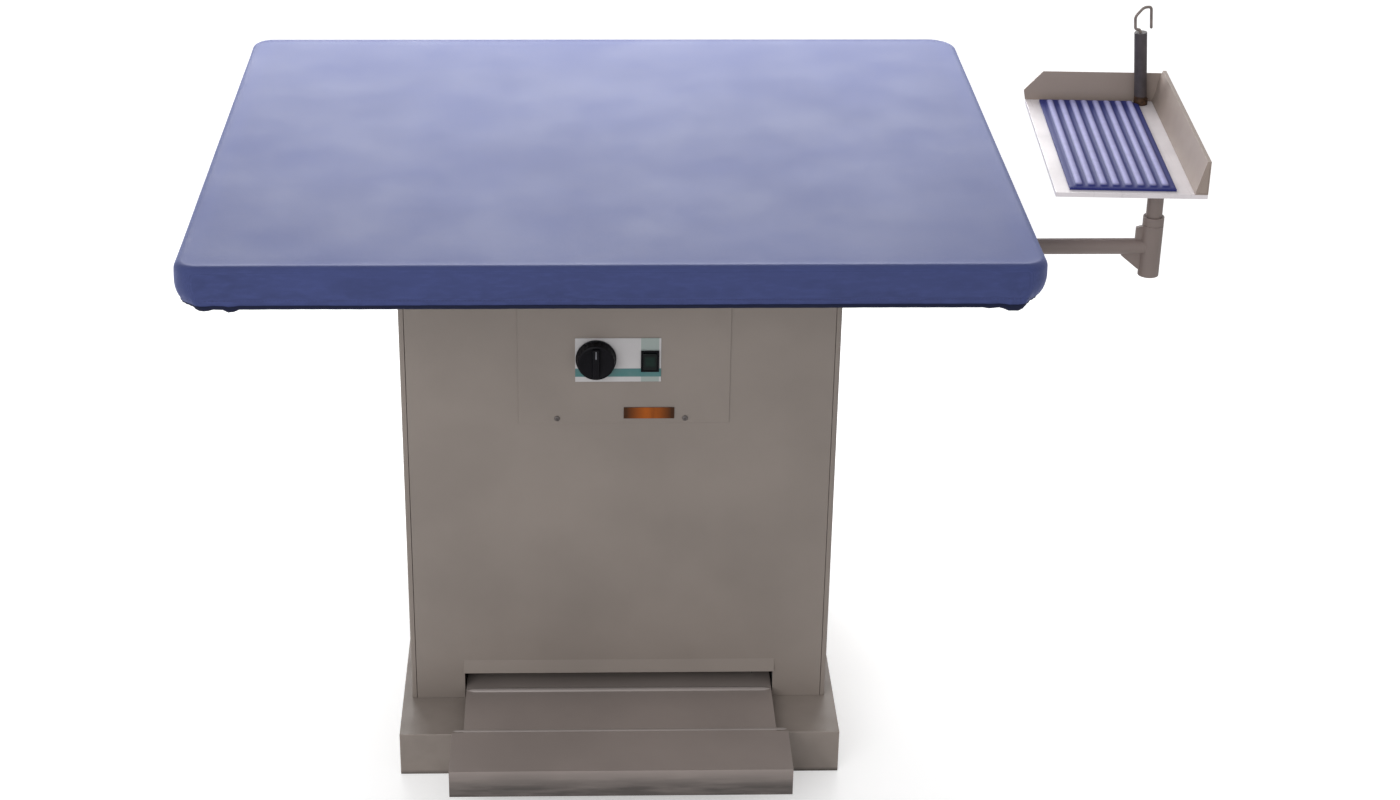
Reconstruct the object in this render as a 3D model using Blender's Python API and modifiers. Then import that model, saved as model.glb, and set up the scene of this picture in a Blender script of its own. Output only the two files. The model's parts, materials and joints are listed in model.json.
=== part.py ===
"""Vacuum ironing table with a foot pedal and a swivelling iron rest.

Metres, +Z up. The user stands on the -Y side. The origin is on the floor, under the middle of the base.
"""
import math

import bmesh
import bpy
from mathutils import Matrix, Vector

OBJECT = "vacuum_ironing_table"

# Clearances and overruns
GAP = 0.0003             # between neighbours that are fastened face to face
RUNNING_GAP = 0.0003     # all round a turning or sliding piece
OVERRUN = 0.002          # how far a cutter, or a shape that is joined on, runs past a face
WELD = 0.00001           # points closer than this are one point
ROUND_SIDES = 32
SMALL_SIDES = 16
SMOOTH_DEGREES = 35          # faces that meet at less than this look like one round face

# Tabletop
TOP_WIDTH = 1.104
TOP_DEPTH = 0.906
TOP_HEIGHT = 0.850       # floor to the ironing surface
TOP_SHIFT_X = -0.014     # the top's middle lies this far left of the cabinet's
TOP_OVERHANG = 0.122     # how far the top's front edge stands ahead of the base
SKIRT_DEPTH = 0.058
COVER_THICKNESS = 0.0025
COVER_CORNER = 0.030
COVER_EDGE = 0.010       # the flat top ends this far inside the skirt
COVER_SHOULDER = 0.004
HEM_WIDTH = 0.030        # the cloth that is drawn in under the top
PAD_THICKNESS = 0.012
PAD_EDGE = 0.005
PLATE_THICKNESS = 0.0015
HOLE_ACROSS = 0.030      # square air holes in the plate
HOLES_X = 9
HOLES_Y = 7
BOX_INSET = 0.0070       # skirt's outside to the vacuum box
BOX_SHEET = 0.0015
RIB_SHEET = 0.0015
RIB_SPACING = 0.280
RIB_END_GAP = 0.002
RIB_SLOT_LENGTH = 0.120
RIB_SLOT_HEIGHT = 0.012
RIB_SLOTS = 5
HEATER_DIAMETER = 0.008
HEATER_RUNS = 6
HEATER_PITCH = 0.140
HEATER_MARGIN = 0.110    # end of a heater run to the side of the top
HEATER_TURN_STEPS = 6
BULB_DIAMETER = 0.006
BULB_LENGTH = 0.080
BULB_OUT_X = 0.160       # the bulb's inner end, from the outlet's axis
CAPILLARY_DIAMETER = 0.0025
CAPILLARY_HOLE = 0.008

# Base and cabinet
BASE_WIDTH = 0.631
BASE_DEPTH = 0.620
BASE_HEIGHT = 0.068
BASE_SHEET = 0.002
CABINET_WIDTH = 0.605
CABINET_DEPTH = 0.460
CABINET_SETBACK = 0.094  # behind the base's front face
CABINET_SHEET = 0.0015
CORNER_STRIP = 0.007     # side panel seen beside the front panel
CORNER_RADIUS = 0.0025
PANEL_SEAM = 0.0008
PANEL_RETURN = 0.015
REAR_FLANGE = 0.022
REAR_OVERLAP = 0.012     # rear panel over the side panels' flanges
REAR_MARGIN = 0.006
BRACKET_HEIGHT = 0.017
BRACKET_FLANGE = 0.040
BRACKET_SHEET = 0.002
BRACKET_END_GAP = 0.006

# Controls on the front panel
CONTROL_WIDTH = 0.292
CONTROL_HEIGHT = 0.180
CONTROL_SHEET = 0.0012
CONTROL_X = 0.0053
CONTROL_DROP = 0.077     # below the cabinet's top
KNOB_X = -0.0334
KNOB_DROP = 0.080        # below the control panel's top edge
KNOB_DIAMETER = 0.056
KNOB_SKIRT = 0.006
KNOB_DEPTH = 0.020
KNOB_GRIP_WIDTH = 0.012
KNOB_GRIP_DEPTH = 0.004
KNOB_FLARE = 0.004
SPINDLE_DIAMETER = 0.006
SPINDLE_LENGTH = 0.024
THERMOSTAT_WIDTH = 0.046
THERMOSTAT_DEPTH = 0.040
CUT_OUT_GAP = 0.001
SWITCH_X = 0.0407
SWITCH_RISE = -0.004     # switch middle above the knob's middle
SWITCH_WIDTH = 0.025
SWITCH_HEIGHT = 0.032
SWITCH_BEZEL = 0.002
SWITCH_LIP = 0.0015      # bezel wider than the body behind it, each side
SWITCH_DEPTH = 0.026
ROCKER_WALL = 0.0025
ROCKER_DEEP = 0.012
ROCKER_TILT_DEG = 9
ROCKER_STAND = 0.004
LABEL_WIDTH = 0.118
LABEL_HEIGHT = 0.066
LABEL_SHEET = 0.0008
LABEL_X = -0.003
LABEL_RISE = -0.0025
BADGE_WIDTH = 0.070
BADGE_HEIGHT = 0.017
BADGE_SHEET = 0.0012
BADGE_X = 0.040
BADGE_RISE = 0.016       # badge middle above the control panel's lower edge
SCREW_RISE = 0.0075
SCREW_LEFT_X = -0.0875
SCREW_RIGHT_X = 0.0901
SCREW_HEAD = 0.008
SCREW_HEAD_HEIGHT = 0.0024
SCREW_SHANK = 0.004
SCREW_LENGTH = 0.010

# Pedal
SLOT_WIDTH = 0.4495
SLOT_HEIGHT = 0.0437     # top of the slot above the base
SLOT_SIDE_GAP = 0.002
PEDAL_CLEARANCE = 0.015  # base to pedal
PEDAL_SHEET = 0.002
TREADLE_WING = 0.01675   # treadle wider than the neck, each side
TREADLE_REACH = 0.1165   # ahead of the base
TREADLE_DEPTH = 0.0945
TREADLE_LIP = 0.042
TREADLE_END_FLANGE = 0.010
PIVOT_SETBACK = 0.084    # pivot behind the cabinet's front
PIVOT_RISE = 0.024       # pivot above the base
PEDAL_TRAVEL_DEG = 4.0
NECK_TAIL = 0.012        # neck behind the pivot
SHAFT_DIAMETER = 0.010
EAR_RADIUS = 0.012
EAR_SHEET = 0.003
SHAFT_OVERHANG = 0.005
TAIL_X = 0.150
TAIL_WIDTH = 0.024
TAIL_END = 0.010
SPRING_SETBACK = 0.050   # spring ahead of the pivot
SPRING_X_SHARE = 0.88    # of half the neck's width
SPRING_RADIUS = 0.006
SPRING_WIRE = 0.0016
SPRING_TURNS = 8
SPRING_TURN_POINTS = 10
SPRING_END = 0.012
SPRING_TAB_RISE = 0.122  # tab above the base
SPRING_TAB_DEPTH = 0.016
PLUNGER_SETBACK = 0.030
PLUNGER_DIAMETER = 0.004
PLUNGER_STAND = 0.005
PLUNGER_LENGTH = 0.013
MICROSWITCH_LENGTH = 0.028
MICROSWITCH_WIDTH = 0.020
MICROSWITCH_HEIGHT = 0.024
MICROSWITCH_LEG = 0.003
MICROSWITCH_FOOT = 0.016

# Fan, motor and ducts
SHELF_HEIGHT = 0.360
SHELF_SHEET = 0.002
SHELF_FLANGE = 0.030
SHELF_FRONT = 0.160      # ahead of the fan's axis
SHELF_REAR = 0.170
BUFFER_HEIGHT = 0.020
BUFFER_DIAMETER = 0.024
BUFFER_INSET = 0.018
FAN_PLATE = 0.270
FAN_SHEET = 0.002
FAN_HEIGHT = 0.070
VOLUTE_START = 0.096
VOLUTE_END = 0.126
VOLUTE_TONGUE_DEG = 25
VOLUTE_STEPS = 20
IMPELLER_RADIUS = 0.085
IMPELLER_BLADES = 8
BLADE_ROOT = 0.030
BLADE_HEIGHT = 0.040
BLADE_THICKNESS = 0.002
IMPELLER_RISE = 0.010    # impeller above the housing's floor
HUB_RADIUS = 0.016
HUB_HEIGHT = 0.030
MOTOR_SHAFT = 0.014
MOTOR_DIAMETER = 0.150
MOTOR_HEIGHT = 0.165
MOTOR_FLANGE = 0.164
MOTOR_FLANGE_THICKNESS = 0.008
MOTOR_BELL = 0.020
MOTOR_HOLE_GAP = 0.004
MOTOR_BORE_DEPTH = 0.110
SHAFT_OPENING = 0.030
DUCT_BORE = 0.120
DUCT_TO_BACK = 0.226     # from the air path's axis to the cabinet's back
DUCT_WALL = 0.0015
DUCT_FLANGE = 0.014
DUCT_FLANGE_THICKNESS = 0.002
VALVE_HEIGHT = 0.110
FLAP_GAP = 0.0015
FLAP_THICKNESS = 0.0025
FLAP_SHAFT = 0.008
FLAP_SHAFT_END = 0.006
VALVE_TURN_DEG = 60.0
LEVER_SHEET = 0.003
LEVER_GAP = 0.0005
LEVER_BOSS = 0.007
LEVER_PIN = 0.005
LEVER_TIP = 0.005
ROD_DIAMETER = 0.008
ROD_TIP_SHARE = 0.7          # the rounded foot's radius against the rod's
ROD_EYE_WIDTH = 0.024
ROD_EYE_HEIGHT = 0.032
ROD_SLOT_WIDTH = 0.012
ROD_SLOT_HEIGHT = 0.009
ROD_HOLE = 0.020
EXHAUST_SHEET = 0.0015
GRILLE_MARGIN = 0.014
GRILLE_SHEET = 0.002
GRILLE_SLOTS = 5
GRILLE_SLOT_SHARE = 0.6  # of the slots' spacing
GLAND_X = -0.200
GLAND_RISE = 0.070       # above the base
GLAND_BORE = 0.009
GLAND_THREAD = 0.020
GLAND_NUT = 0.028
GLAND_OUT = 0.016
GLAND_IN = 0.012
RELAY_WIDTH = 0.050
RELAY_DEPTH = 0.120
RELAY_HEIGHT = 0.160
RELAY_RISE_SHARE = 0.466563  # of the free height over the fan's shelf, below the box

# Iron rest
REST_X = 0.724           # axis of the upright post
REST_FROM_FRONT = 0.250  # behind the top's front edge
ARM_DROP = 0.080         # below the ironing surface
ARM_DIAMETER = 0.022
ARM_WALL = 0.002
SOCKET_WALL = 0.003
SOCKET_START = 0.320
SOCKET_LENGTH = 0.180
SOCKET_FOOT = 0.030
SOCKET_FOOT_INSET = 0.020
ARM_IN_SOCKET = 0.100
SLEEVE_WALL = 0.003
SLEEVE_ABOVE = 0.032     # sleeve above the arm's axis
SLEEVE_BELOW = 0.042
GUSSET_THICKNESS = 0.006
GUSSET_REACH = 0.040
GUSSET_UPPER = 0.0225
GUSSET_DEPTH_SHARE = 3       # of the arm's radius, below the arm's middle
POST_DIAMETER = 0.022
POST_WALL = 0.002
POST_BELOW = 0.001       # post below its sleeve
POST_FLANGE = 0.060
POST_FLANGE_THICKNESS = 0.004
COLLAR_HEIGHT = 0.012
CLAMP_THREAD = 0.008
CLAMP_KNOB = 0.030
CLAMP_KNOB_HEIGHT = 0.016
CLAMP_STAND = 0.008
CLAMP_LOBES = 5
CLAMP_LOBE_STEPS = 4
CLAMP_LOBE_SHARE = 0.86
TRAY_RISE = 0.050        # tray above the ironing surface
TRAY_TURN_DEG = -3.0
TRAY_LEFT = 0.156        # from the post's axis
TRAY_RIGHT = 0.040
TRAY_FRONT = 0.136
TRAY_REAR = 0.221
TRAY_SHEET = 0.002
TRAY_EDGE = 0.006
GUARD_HEIGHT = 0.040
GUARD_SIDE_HEIGHT = 0.0455
GUARD_SIDE_WIDTH = 0.017
GUARD_SIDE_TOP = 0.005
GUARD_SIDE_WALL = 0.0012
GUARD_FOLD = 0.014
GUARD_LEAN = 0.007
GUARD_OVERHANG = 0.003
GUARD_END_CUT = 0.026
MAT_WIDTH = 0.138
MAT_DEPTH = 0.338
MAT_RIGHT = 0.001
MAT_FRONT_MARGIN = 0.010
MAT_THICKNESS = 0.004
MAT_RIBS = 8
MAT_RIB_HEIGHT = 0.003
MAT_RIB_SHARE = 0.5
MAT_RIB_FOOT_SHARE = 1.4     # a rib's foot against its top
MAT_NOTCH_GAP = 0.002    # round the cord holder's nut
HOLDER_X = 0.0055
HOLDER_LEAN_DEG = -5.0
HOLDER_DIAMETER = 0.018
HOLDER_HEIGHT = 0.106
HOLDER_NUT = 0.020
HOLDER_NUT_HEIGHT = 0.008
HOLDER_BORE_DEPTH = 0.020
LOOP_WIRE = 0.004
LOOP_HEIGHT = 0.036
LOOP_LEFT = 0.0075
LOOP_RIGHT = 0.0145
LOOP_SIDE_SHARE = 0.60

# Looks: colour, roughness, metallic
TAUPE_PAINT = ((0.212, 0.184, 0.165), 0.45, 0.0)
TAUPE_DARK = ((0.150, 0.130, 0.120), 0.50, 0.0)
BLUE_CLOTH = ((0.215, 0.260, 0.480), 0.90, 0.0)
FOAM = ((0.700, 0.680, 0.600), 0.95, 0.0)
ZINC = ((0.550, 0.550, 0.540), 0.40, 0.9)
STEEL = ((0.600, 0.600, 0.590), 0.30, 1.0)
HEATER_STEEL = ((0.250, 0.240, 0.230), 0.45, 0.9)
COPPER = ((0.650, 0.330, 0.200), 0.35, 1.0)
ALUMINIUM = ((0.500, 0.500, 0.510), 0.40, 0.9)
BLACK_PLASTIC = ((0.012, 0.012, 0.013), 0.35, 0.0)
GREEN_BLACK = ((0.012, 0.040, 0.030), 0.30, 0.0)
LABEL_WHITE = ((0.620, 0.640, 0.660), 0.40, 0.0)
ORANGE = ((0.320, 0.110, 0.025), 0.40, 0.0)
BLACK_RUBBER = ((0.020, 0.020, 0.020), 0.80, 0.0)
GREY_PLASTIC = ((0.300, 0.300, 0.300), 0.50, 0.0)
WHITE_PAINT = ((0.800, 0.770, 0.770), 0.35, 0.0)
BLUE_SILICONE = ((0.130, 0.140, 0.380), 0.50, 0.0)

# Heights and depths that follow from the sizes above
base_front = -BASE_DEPTH / 2
top_front = base_front - TOP_OVERHANG
top_y = top_front + TOP_DEPTH / 2
cabinet_front = base_front + CABINET_SETBACK
cabinet_back = cabinet_front + CABINET_DEPTH
axis_y = cabinet_back - DUCT_TO_BACK
cabinet_half = CABINET_WIDTH / 2
cabinet_floor = BASE_HEIGHT + GAP
pad_top = TOP_HEIGHT - COVER_THICKNESS - GAP
pad_bottom = pad_top - PAD_THICKNESS
plate_top = pad_bottom - GAP
plate_bottom = plate_top - PLATE_THICKNESS
box_top = plate_bottom - GAP
hem_bottom = TOP_HEIGHT - SKIRT_DEPTH
box_bottom = hem_bottom + COVER_THICKNESS + GAP
box_floor = box_bottom + BOX_SHEET
bracket_top = box_bottom - GAP
cabinet_top = bracket_top - BRACKET_HEIGHT - GAP
bore = DUCT_BORE / 2
duct_outer = bore + DUCT_WALL
flange_radius = duct_outer + DUCT_FLANGE
shelf_top = SHELF_HEIGHT
fan_bottom = shelf_top + BUFFER_HEIGHT + 2 * GAP
fan_floor = fan_bottom + FAN_SHEET
fan_top = fan_floor + FAN_HEIGHT
fan_cover_bottom = fan_top + GAP
fan_cover_top = fan_cover_bottom + FAN_SHEET
valve_bottom = fan_cover_top + GAP
valve_top = valve_bottom + VALVE_HEIGHT
valve_middle = valve_bottom + VALVE_HEIGHT / 2
duct_bottom = valve_top + GAP
duct_top = box_bottom - GAP

# The pedal, and the valve that it opens
neck_bottom = BASE_HEIGHT + PEDAL_CLEARANCE
neck_top = neck_bottom + PEDAL_SHEET
neck_half = SLOT_WIDTH / 2 - SLOT_SIDE_GAP
pivot_y = cabinet_front + PIVOT_SETBACK
pivot_z = BASE_HEIGHT + PIVOT_RISE
pedal_travel = math.radians(PEDAL_TRAVEL_DEG)
valve_turn = math.radians(VALVE_TURN_DEG)
lever_lean = valve_turn / 2
lever_share = pedal_travel / (2 * math.sin(lever_lean))
lever_arm = lever_share * (axis_y - pivot_y) / (1 - lever_share * math.cos(lever_lean))
tail_length = axis_y - pivot_y + lever_arm * math.cos(lever_lean)
rod_y = pivot_y + tail_length

# The fan's outlet
tongue = math.radians(VOLUTE_TONGUE_DEG)
tongue_radius = VOLUTE_START + (VOLUTE_END - VOLUTE_START) * tongue / (2 * math.pi)
tongue_x = tongue_radius * math.cos(tongue)
outlet_width = VOLUTE_END - tongue_x
outlet_x = (VOLUTE_END + tongue_x) / 2
outlet_z = (fan_floor + fan_top) / 2

# The iron rest
rest_y = top_front + REST_FROM_FRONT
arm_z = TOP_HEIGHT - ARM_DROP
arm_radius = ARM_DIAMETER / 2
post_radius = POST_DIAMETER / 2
sleeve_top = arm_z + SLEEVE_ABOVE
sleeve_bottom = arm_z - SLEEVE_BELOW
sleeve_bore = post_radius + RUNNING_GAP
sleeve_radius = sleeve_bore + SLEEVE_WALL
collar_bottom = sleeve_top + GAP
tray_top = TOP_HEIGHT + TRAY_RISE
tray_bottom = tray_top - TRAY_SHEET
holder_foot = tray_top + GAP

for old in list(bpy.data.objects):
    bpy.data.objects.remove(old)
parts = bpy.data.collections.new(OBJECT)
cutters = bpy.data.collections.new("cutters")
bpy.context.scene.collection.children.link(parts)
bpy.context.scene.collection.children.link(cutters)

PLANE_TURN = {
    "Z": Matrix.Identity(4),
    "X": Matrix(((0, 0, 1, 0), (1, 0, 0, 0), (0, 1, 0, 0), (0, 0, 0, 1))),
    "Y": Matrix(((1, 0, 0, 0), (0, 0, -1, 0), (0, 1, 0, 0), (0, 0, 0, 1))),
}


def look(obj, finish):
    """Gives an object its own material."""
    colour, roughness, metallic = finish
    material = bpy.data.materials.new(obj.name + "_finish")
    material.use_nodes = True
    shader = material.node_tree.nodes["Principled BSDF"]
    shader.inputs["Base Color"].default_value = (*colour, 1)
    shader.inputs["Roughness"].default_value = roughness
    shader.inputs["Metallic"].default_value = metallic
    material.diffuse_color = (*colour, 1)
    obj.data.materials.clear()
    obj.data.materials.append(material)


def placed(name, data, finish=None, parent=None):
    """A new object: a part where it has a finish, otherwise a cutter or a shape to be joined."""
    obj = bpy.data.objects.new(name, data)
    if finish:
        parts.objects.link(obj)
        look(obj, finish)
    else:
        cutters.objects.link(obj)
        obj.hide_render = True
        obj.display_type = "WIRE"
    if parent:
        obj.parent = parent
    return obj


def from_bmesh(name, shape, finish=None, parent=None):
    mesh = bpy.data.meshes.new(name)
    shape.to_mesh(mesh)
    shape.free()
    return placed(name, mesh, finish, parent)


def smooth(obj):
    """Shades a round piece smooth, with its edges kept sharp."""
    obj.data.shade_smooth()
    obj.data.set_sharp_from_angle(angle=math.radians(SMOOTH_DEGREES))
    return obj


def block(name, low, high, finish=None, parent=None):
    """A box between two corners."""
    low, high = Vector(low), Vector(high)
    shape = bmesh.new()
    bmesh.ops.create_cube(shape, size=1)
    bmesh.ops.scale(shape, vec=high - low, verts=shape.verts)
    bmesh.ops.translate(shape, vec=(low + high) / 2, verts=shape.verts)
    return from_bmesh(name, shape, finish, parent)


def rod(name, start, end, radius, finish=None, parent=None, sides=SMALL_SIDES, end_radius=None):
    """A round bar, or a cone, from one point to another."""
    start, end = Vector(start), Vector(end)
    shape = bmesh.new()
    bmesh.ops.create_cone(shape, cap_ends=True, segments=sides, radius1=radius,
                          radius2=radius if end_radius is None else end_radius, depth=(end - start).length)
    turn = (end - start).to_track_quat("Z", "Y").to_matrix().to_4x4()
    bmesh.ops.transform(shape, matrix=Matrix.Translation((start + end) / 2) @ turn, verts=shape.verts)
    return smooth(from_bmesh(name, shape, finish, parent))


def turned(name, profile, place, finish=None, parent=None, sides=ROUND_SIDES, axis="Z"):
    """A turned shape. The profile's points are (radius, height), down the outer side and up the inner one."""
    shape = bmesh.new()
    points = [shape.verts.new((radius, 0, height)) for radius, height in profile]
    for first, second in zip(points, points[1:] + points[:1]):
        if first.co.x or second.co.x:
            shape.edges.new((first, second))
    obj = from_bmesh(name, shape, finish, parent)
    screw = obj.modifiers.new("turn", "SCREW")
    screw.steps = sides
    screw.render_steps = sides
    screw.use_merge_vertices = True
    screw.merge_threshold = WELD
    obj.location = place
    if axis == "-Y":
        obj.rotation_euler = (math.radians(90), 0, 0)
    return obj


def prism(name, outline, low, high, axis="Z", finish=None, parent=None, holes=()):
    """A flat outline with holes, given thickness. X takes (y, z), Y takes (x, z) and Z takes (x, y)."""
    curve = bpy.data.curves.new(name + "_outline", "CURVE")
    curve.dimensions = "2D"
    curve.fill_mode = "BOTH"
    curve.extrude = (high - low) / 2
    for points in (outline, *holes):
        spline = curve.splines.new("POLY")
        spline.points.add(len(points) - 1)
        for point, (across, up) in zip(spline.points, points):
            point.co = (across, up, 0, 1)
        spline.use_cyclic_u = True
    drawn = bpy.data.objects.new(name + "_drawn", curve)
    cutters.objects.link(drawn)
    bpy.context.view_layer.update()
    mesh = bpy.data.meshes.new_from_object(drawn.evaluated_get(bpy.context.evaluated_depsgraph_get()))
    shape = bmesh.new()
    shape.from_mesh(mesh)
    bmesh.ops.remove_doubles(shape, verts=shape.verts, dist=WELD)
    middle = (high + low) / 2
    along = {"Z": (0, 0, middle), "X": (middle, 0, 0), "Y": (0, middle, 0)}[axis]
    bmesh.ops.transform(shape, matrix=Matrix.Translation(along) @ PLANE_TURN[axis], verts=shape.verts)
    bpy.data.objects.remove(drawn)
    return from_bmesh(name, shape, finish, parent)


def folded(name, path, thickness, low, high, axis="Z", finish=None, parent=None):
    """A folded sheet: an open strip along a path, made thick to the left of the path."""
    shape = bmesh.new()
    rows = [[shape.verts.new((across, up, level)) for level in (low, high)] for across, up in path]
    for first, second in zip(rows, rows[1:]):
        shape.faces.new((first[0], second[0], second[1], first[1]))
    matrix = PLANE_TURN[axis]
    if axis == "Y":
        matrix = matrix @ Matrix.Translation((0, 0, -(low + high)))
    bmesh.ops.transform(shape, matrix=matrix, verts=shape.verts)
    obj = from_bmesh(name, shape, finish, parent)
    solid = obj.modifiers.new("sheet", "SOLIDIFY")
    solid.thickness = thickness
    solid.offset = -1
    solid.use_even_offset = True
    return obj


def open_box(name, low, high, thickness, open_side, finish=None):
    """A sheet box without one of its sides, which is +1 for its top and -1 for its bottom."""
    low, high = Vector(low), Vector(high)
    shape = bmesh.new()
    bmesh.ops.create_cube(shape, size=1)
    bmesh.ops.scale(shape, vec=high - low, verts=shape.verts)
    bmesh.ops.translate(shape, vec=(low + high) / 2, verts=shape.verts)
    lid = [face for face in shape.faces if face.normal.z * open_side > 0.5]
    bmesh.ops.delete(shape, geom=lid, context="FACES_ONLY")
    obj = from_bmesh(name, shape, finish)
    solid = obj.modifiers.new("sheet", "SOLIDIFY")
    solid.thickness = thickness
    solid.offset = -1
    solid.use_even_offset = True
    return obj


def combine(target, others, operation):
    for other in others:
        step = target.modifiers.new(other.name, "BOOLEAN")
        step.operation = operation
        step.object = other
    return target


def cut(target, *others):
    return combine(target, others, "DIFFERENCE")


def join(target, *others):
    return combine(target, others, "UNION")


def circle(x, y, radius, sides=ROUND_SIDES):
    """Points round a circle, with flats facing the axes."""
    turns = [2 * math.pi * (step + 0.5) / sides for step in range(sides)]
    return [(x + radius * math.cos(turn), y + radius * math.sin(turn)) for turn in turns]


def rectangle(x, y, width, height):
    return [(x - width / 2, y - height / 2), (x + width / 2, y - height / 2),
            (x + width / 2, y + height / 2), (x - width / 2, y + height / 2)]


def rounded_rectangle(x, y, width, height, radius, steps=4):
    """A rectangle with round corners, counter-clockwise."""
    points = []
    for quarter, (side, end) in enumerate(((1, 1), (-1, 1), (-1, -1), (1, -1))):
        middle = (x + side * (width / 2 - radius), y + end * (height / 2 - radius))
        for step in range(steps + 1):
            turn = math.pi / 2 * (quarter + step / steps)
            points.append((middle[0] + radius * math.cos(turn), middle[1] + radius * math.sin(turn)))
    return points


def rounded_path(path, radius, steps=3):
    """A path whose inner corners are arcs."""
    points = [path[0]]
    for before, corner, after in zip(path, path[1:], path[2:]):
        corner = Vector(corner)
        back = (Vector(before) - corner).normalized()
        ahead = (Vector(after) - corner).normalized()
        half = back.angle(ahead) / 2
        reach = radius / math.tan(half)
        middle = corner + (back + ahead).normalized() * radius / math.sin(half)
        first = corner + back * reach - middle
        last = corner + ahead * reach - middle
        for step in range(steps + 1):
            share = step / steps
            arm = (first * (1 - share) + last * share).normalized() * radius
            points.append(tuple(middle + arm))
    points.append(path[-1])
    return points


def tube(name, points, diameter, finish, parent=None, cyclic=False, resolution=1):
    """A wire or tube along a route of points."""
    curve = bpy.data.curves.new(name, "CURVE")
    curve.dimensions = "3D"
    curve.bevel_depth = diameter / 2
    curve.bevel_resolution = resolution
    curve.use_fill_caps = True
    spline = curve.splines.new("POLY")
    spline.points.add(len(points) - 1)
    for point, place in zip(spline.points, points):
        point.co = (*place, 1)
    spline.use_cyclic_u = cyclic
    return placed(name, curve, finish, parent)


def clamp_knob(name, foot, direction, reach, finish, parent=None):
    """A clamp screw with a lobed knob. Its tip is at foot and its knob lies beyond reach, along -Z or +Y."""
    foot = Vector(foot)
    way = Vector(direction)
    knob_start = foot + way * reach
    knob_end = knob_start + way * CLAMP_KNOB_HEIGHT
    steps = CLAMP_LOBES * CLAMP_LOBE_STEPS
    outline = []
    for step in range(steps):
        turn = 2 * math.pi * step / steps
        share = 1 - (1 - CLAMP_LOBE_SHARE) * (0.5 - 0.5 * math.cos(CLAMP_LOBES * turn))
        outline.append((CLAMP_KNOB / 2 * share * math.cos(turn), CLAMP_KNOB / 2 * share * math.sin(turn)))
    if direction[2]:
        placed_outline = [(foot.x + across, foot.y + up) for across, up in outline]
        knob = prism(name, placed_outline, knob_end.z, knob_start.z, "Z", finish, parent)
    else:
        placed_outline = [(foot.x + across, foot.z + up) for across, up in outline]
        knob = prism(name, placed_outline, knob_start.y, knob_end.y, "Y", finish, parent)
    stem = rod(name + "_stem", foot, knob_start + way * OVERRUN, CLAMP_THREAD / 2, parent=parent)
    return join(knob, stem)


def stacked(name, rings, finish, closed):
    """A shape of the top's outline. Each ring is (inset from the skirt, height), from the top down."""
    shape = bmesh.new()
    loops = []
    for inset, height in rings:
        outline = rounded_rectangle(TOP_SHIFT_X, top_y, TOP_WIDTH - 2 * inset, TOP_DEPTH - 2 * inset,
                                    max(COVER_CORNER - inset, COVER_SHOULDER))
        loops.append([shape.verts.new((*point, height)) for point in outline])
    shape.faces.new(loops[0])
    for upper, lower in zip(loops, loops[1:]):
        for index, corner in enumerate(upper):
            beside = (index + 1) % len(upper)
            shape.faces.new((corner, lower[index], lower[beside], upper[beside]))
    if closed:
        shape.faces.new(list(reversed(loops[-1])))
    return from_bmesh(name, shape, finish)


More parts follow.
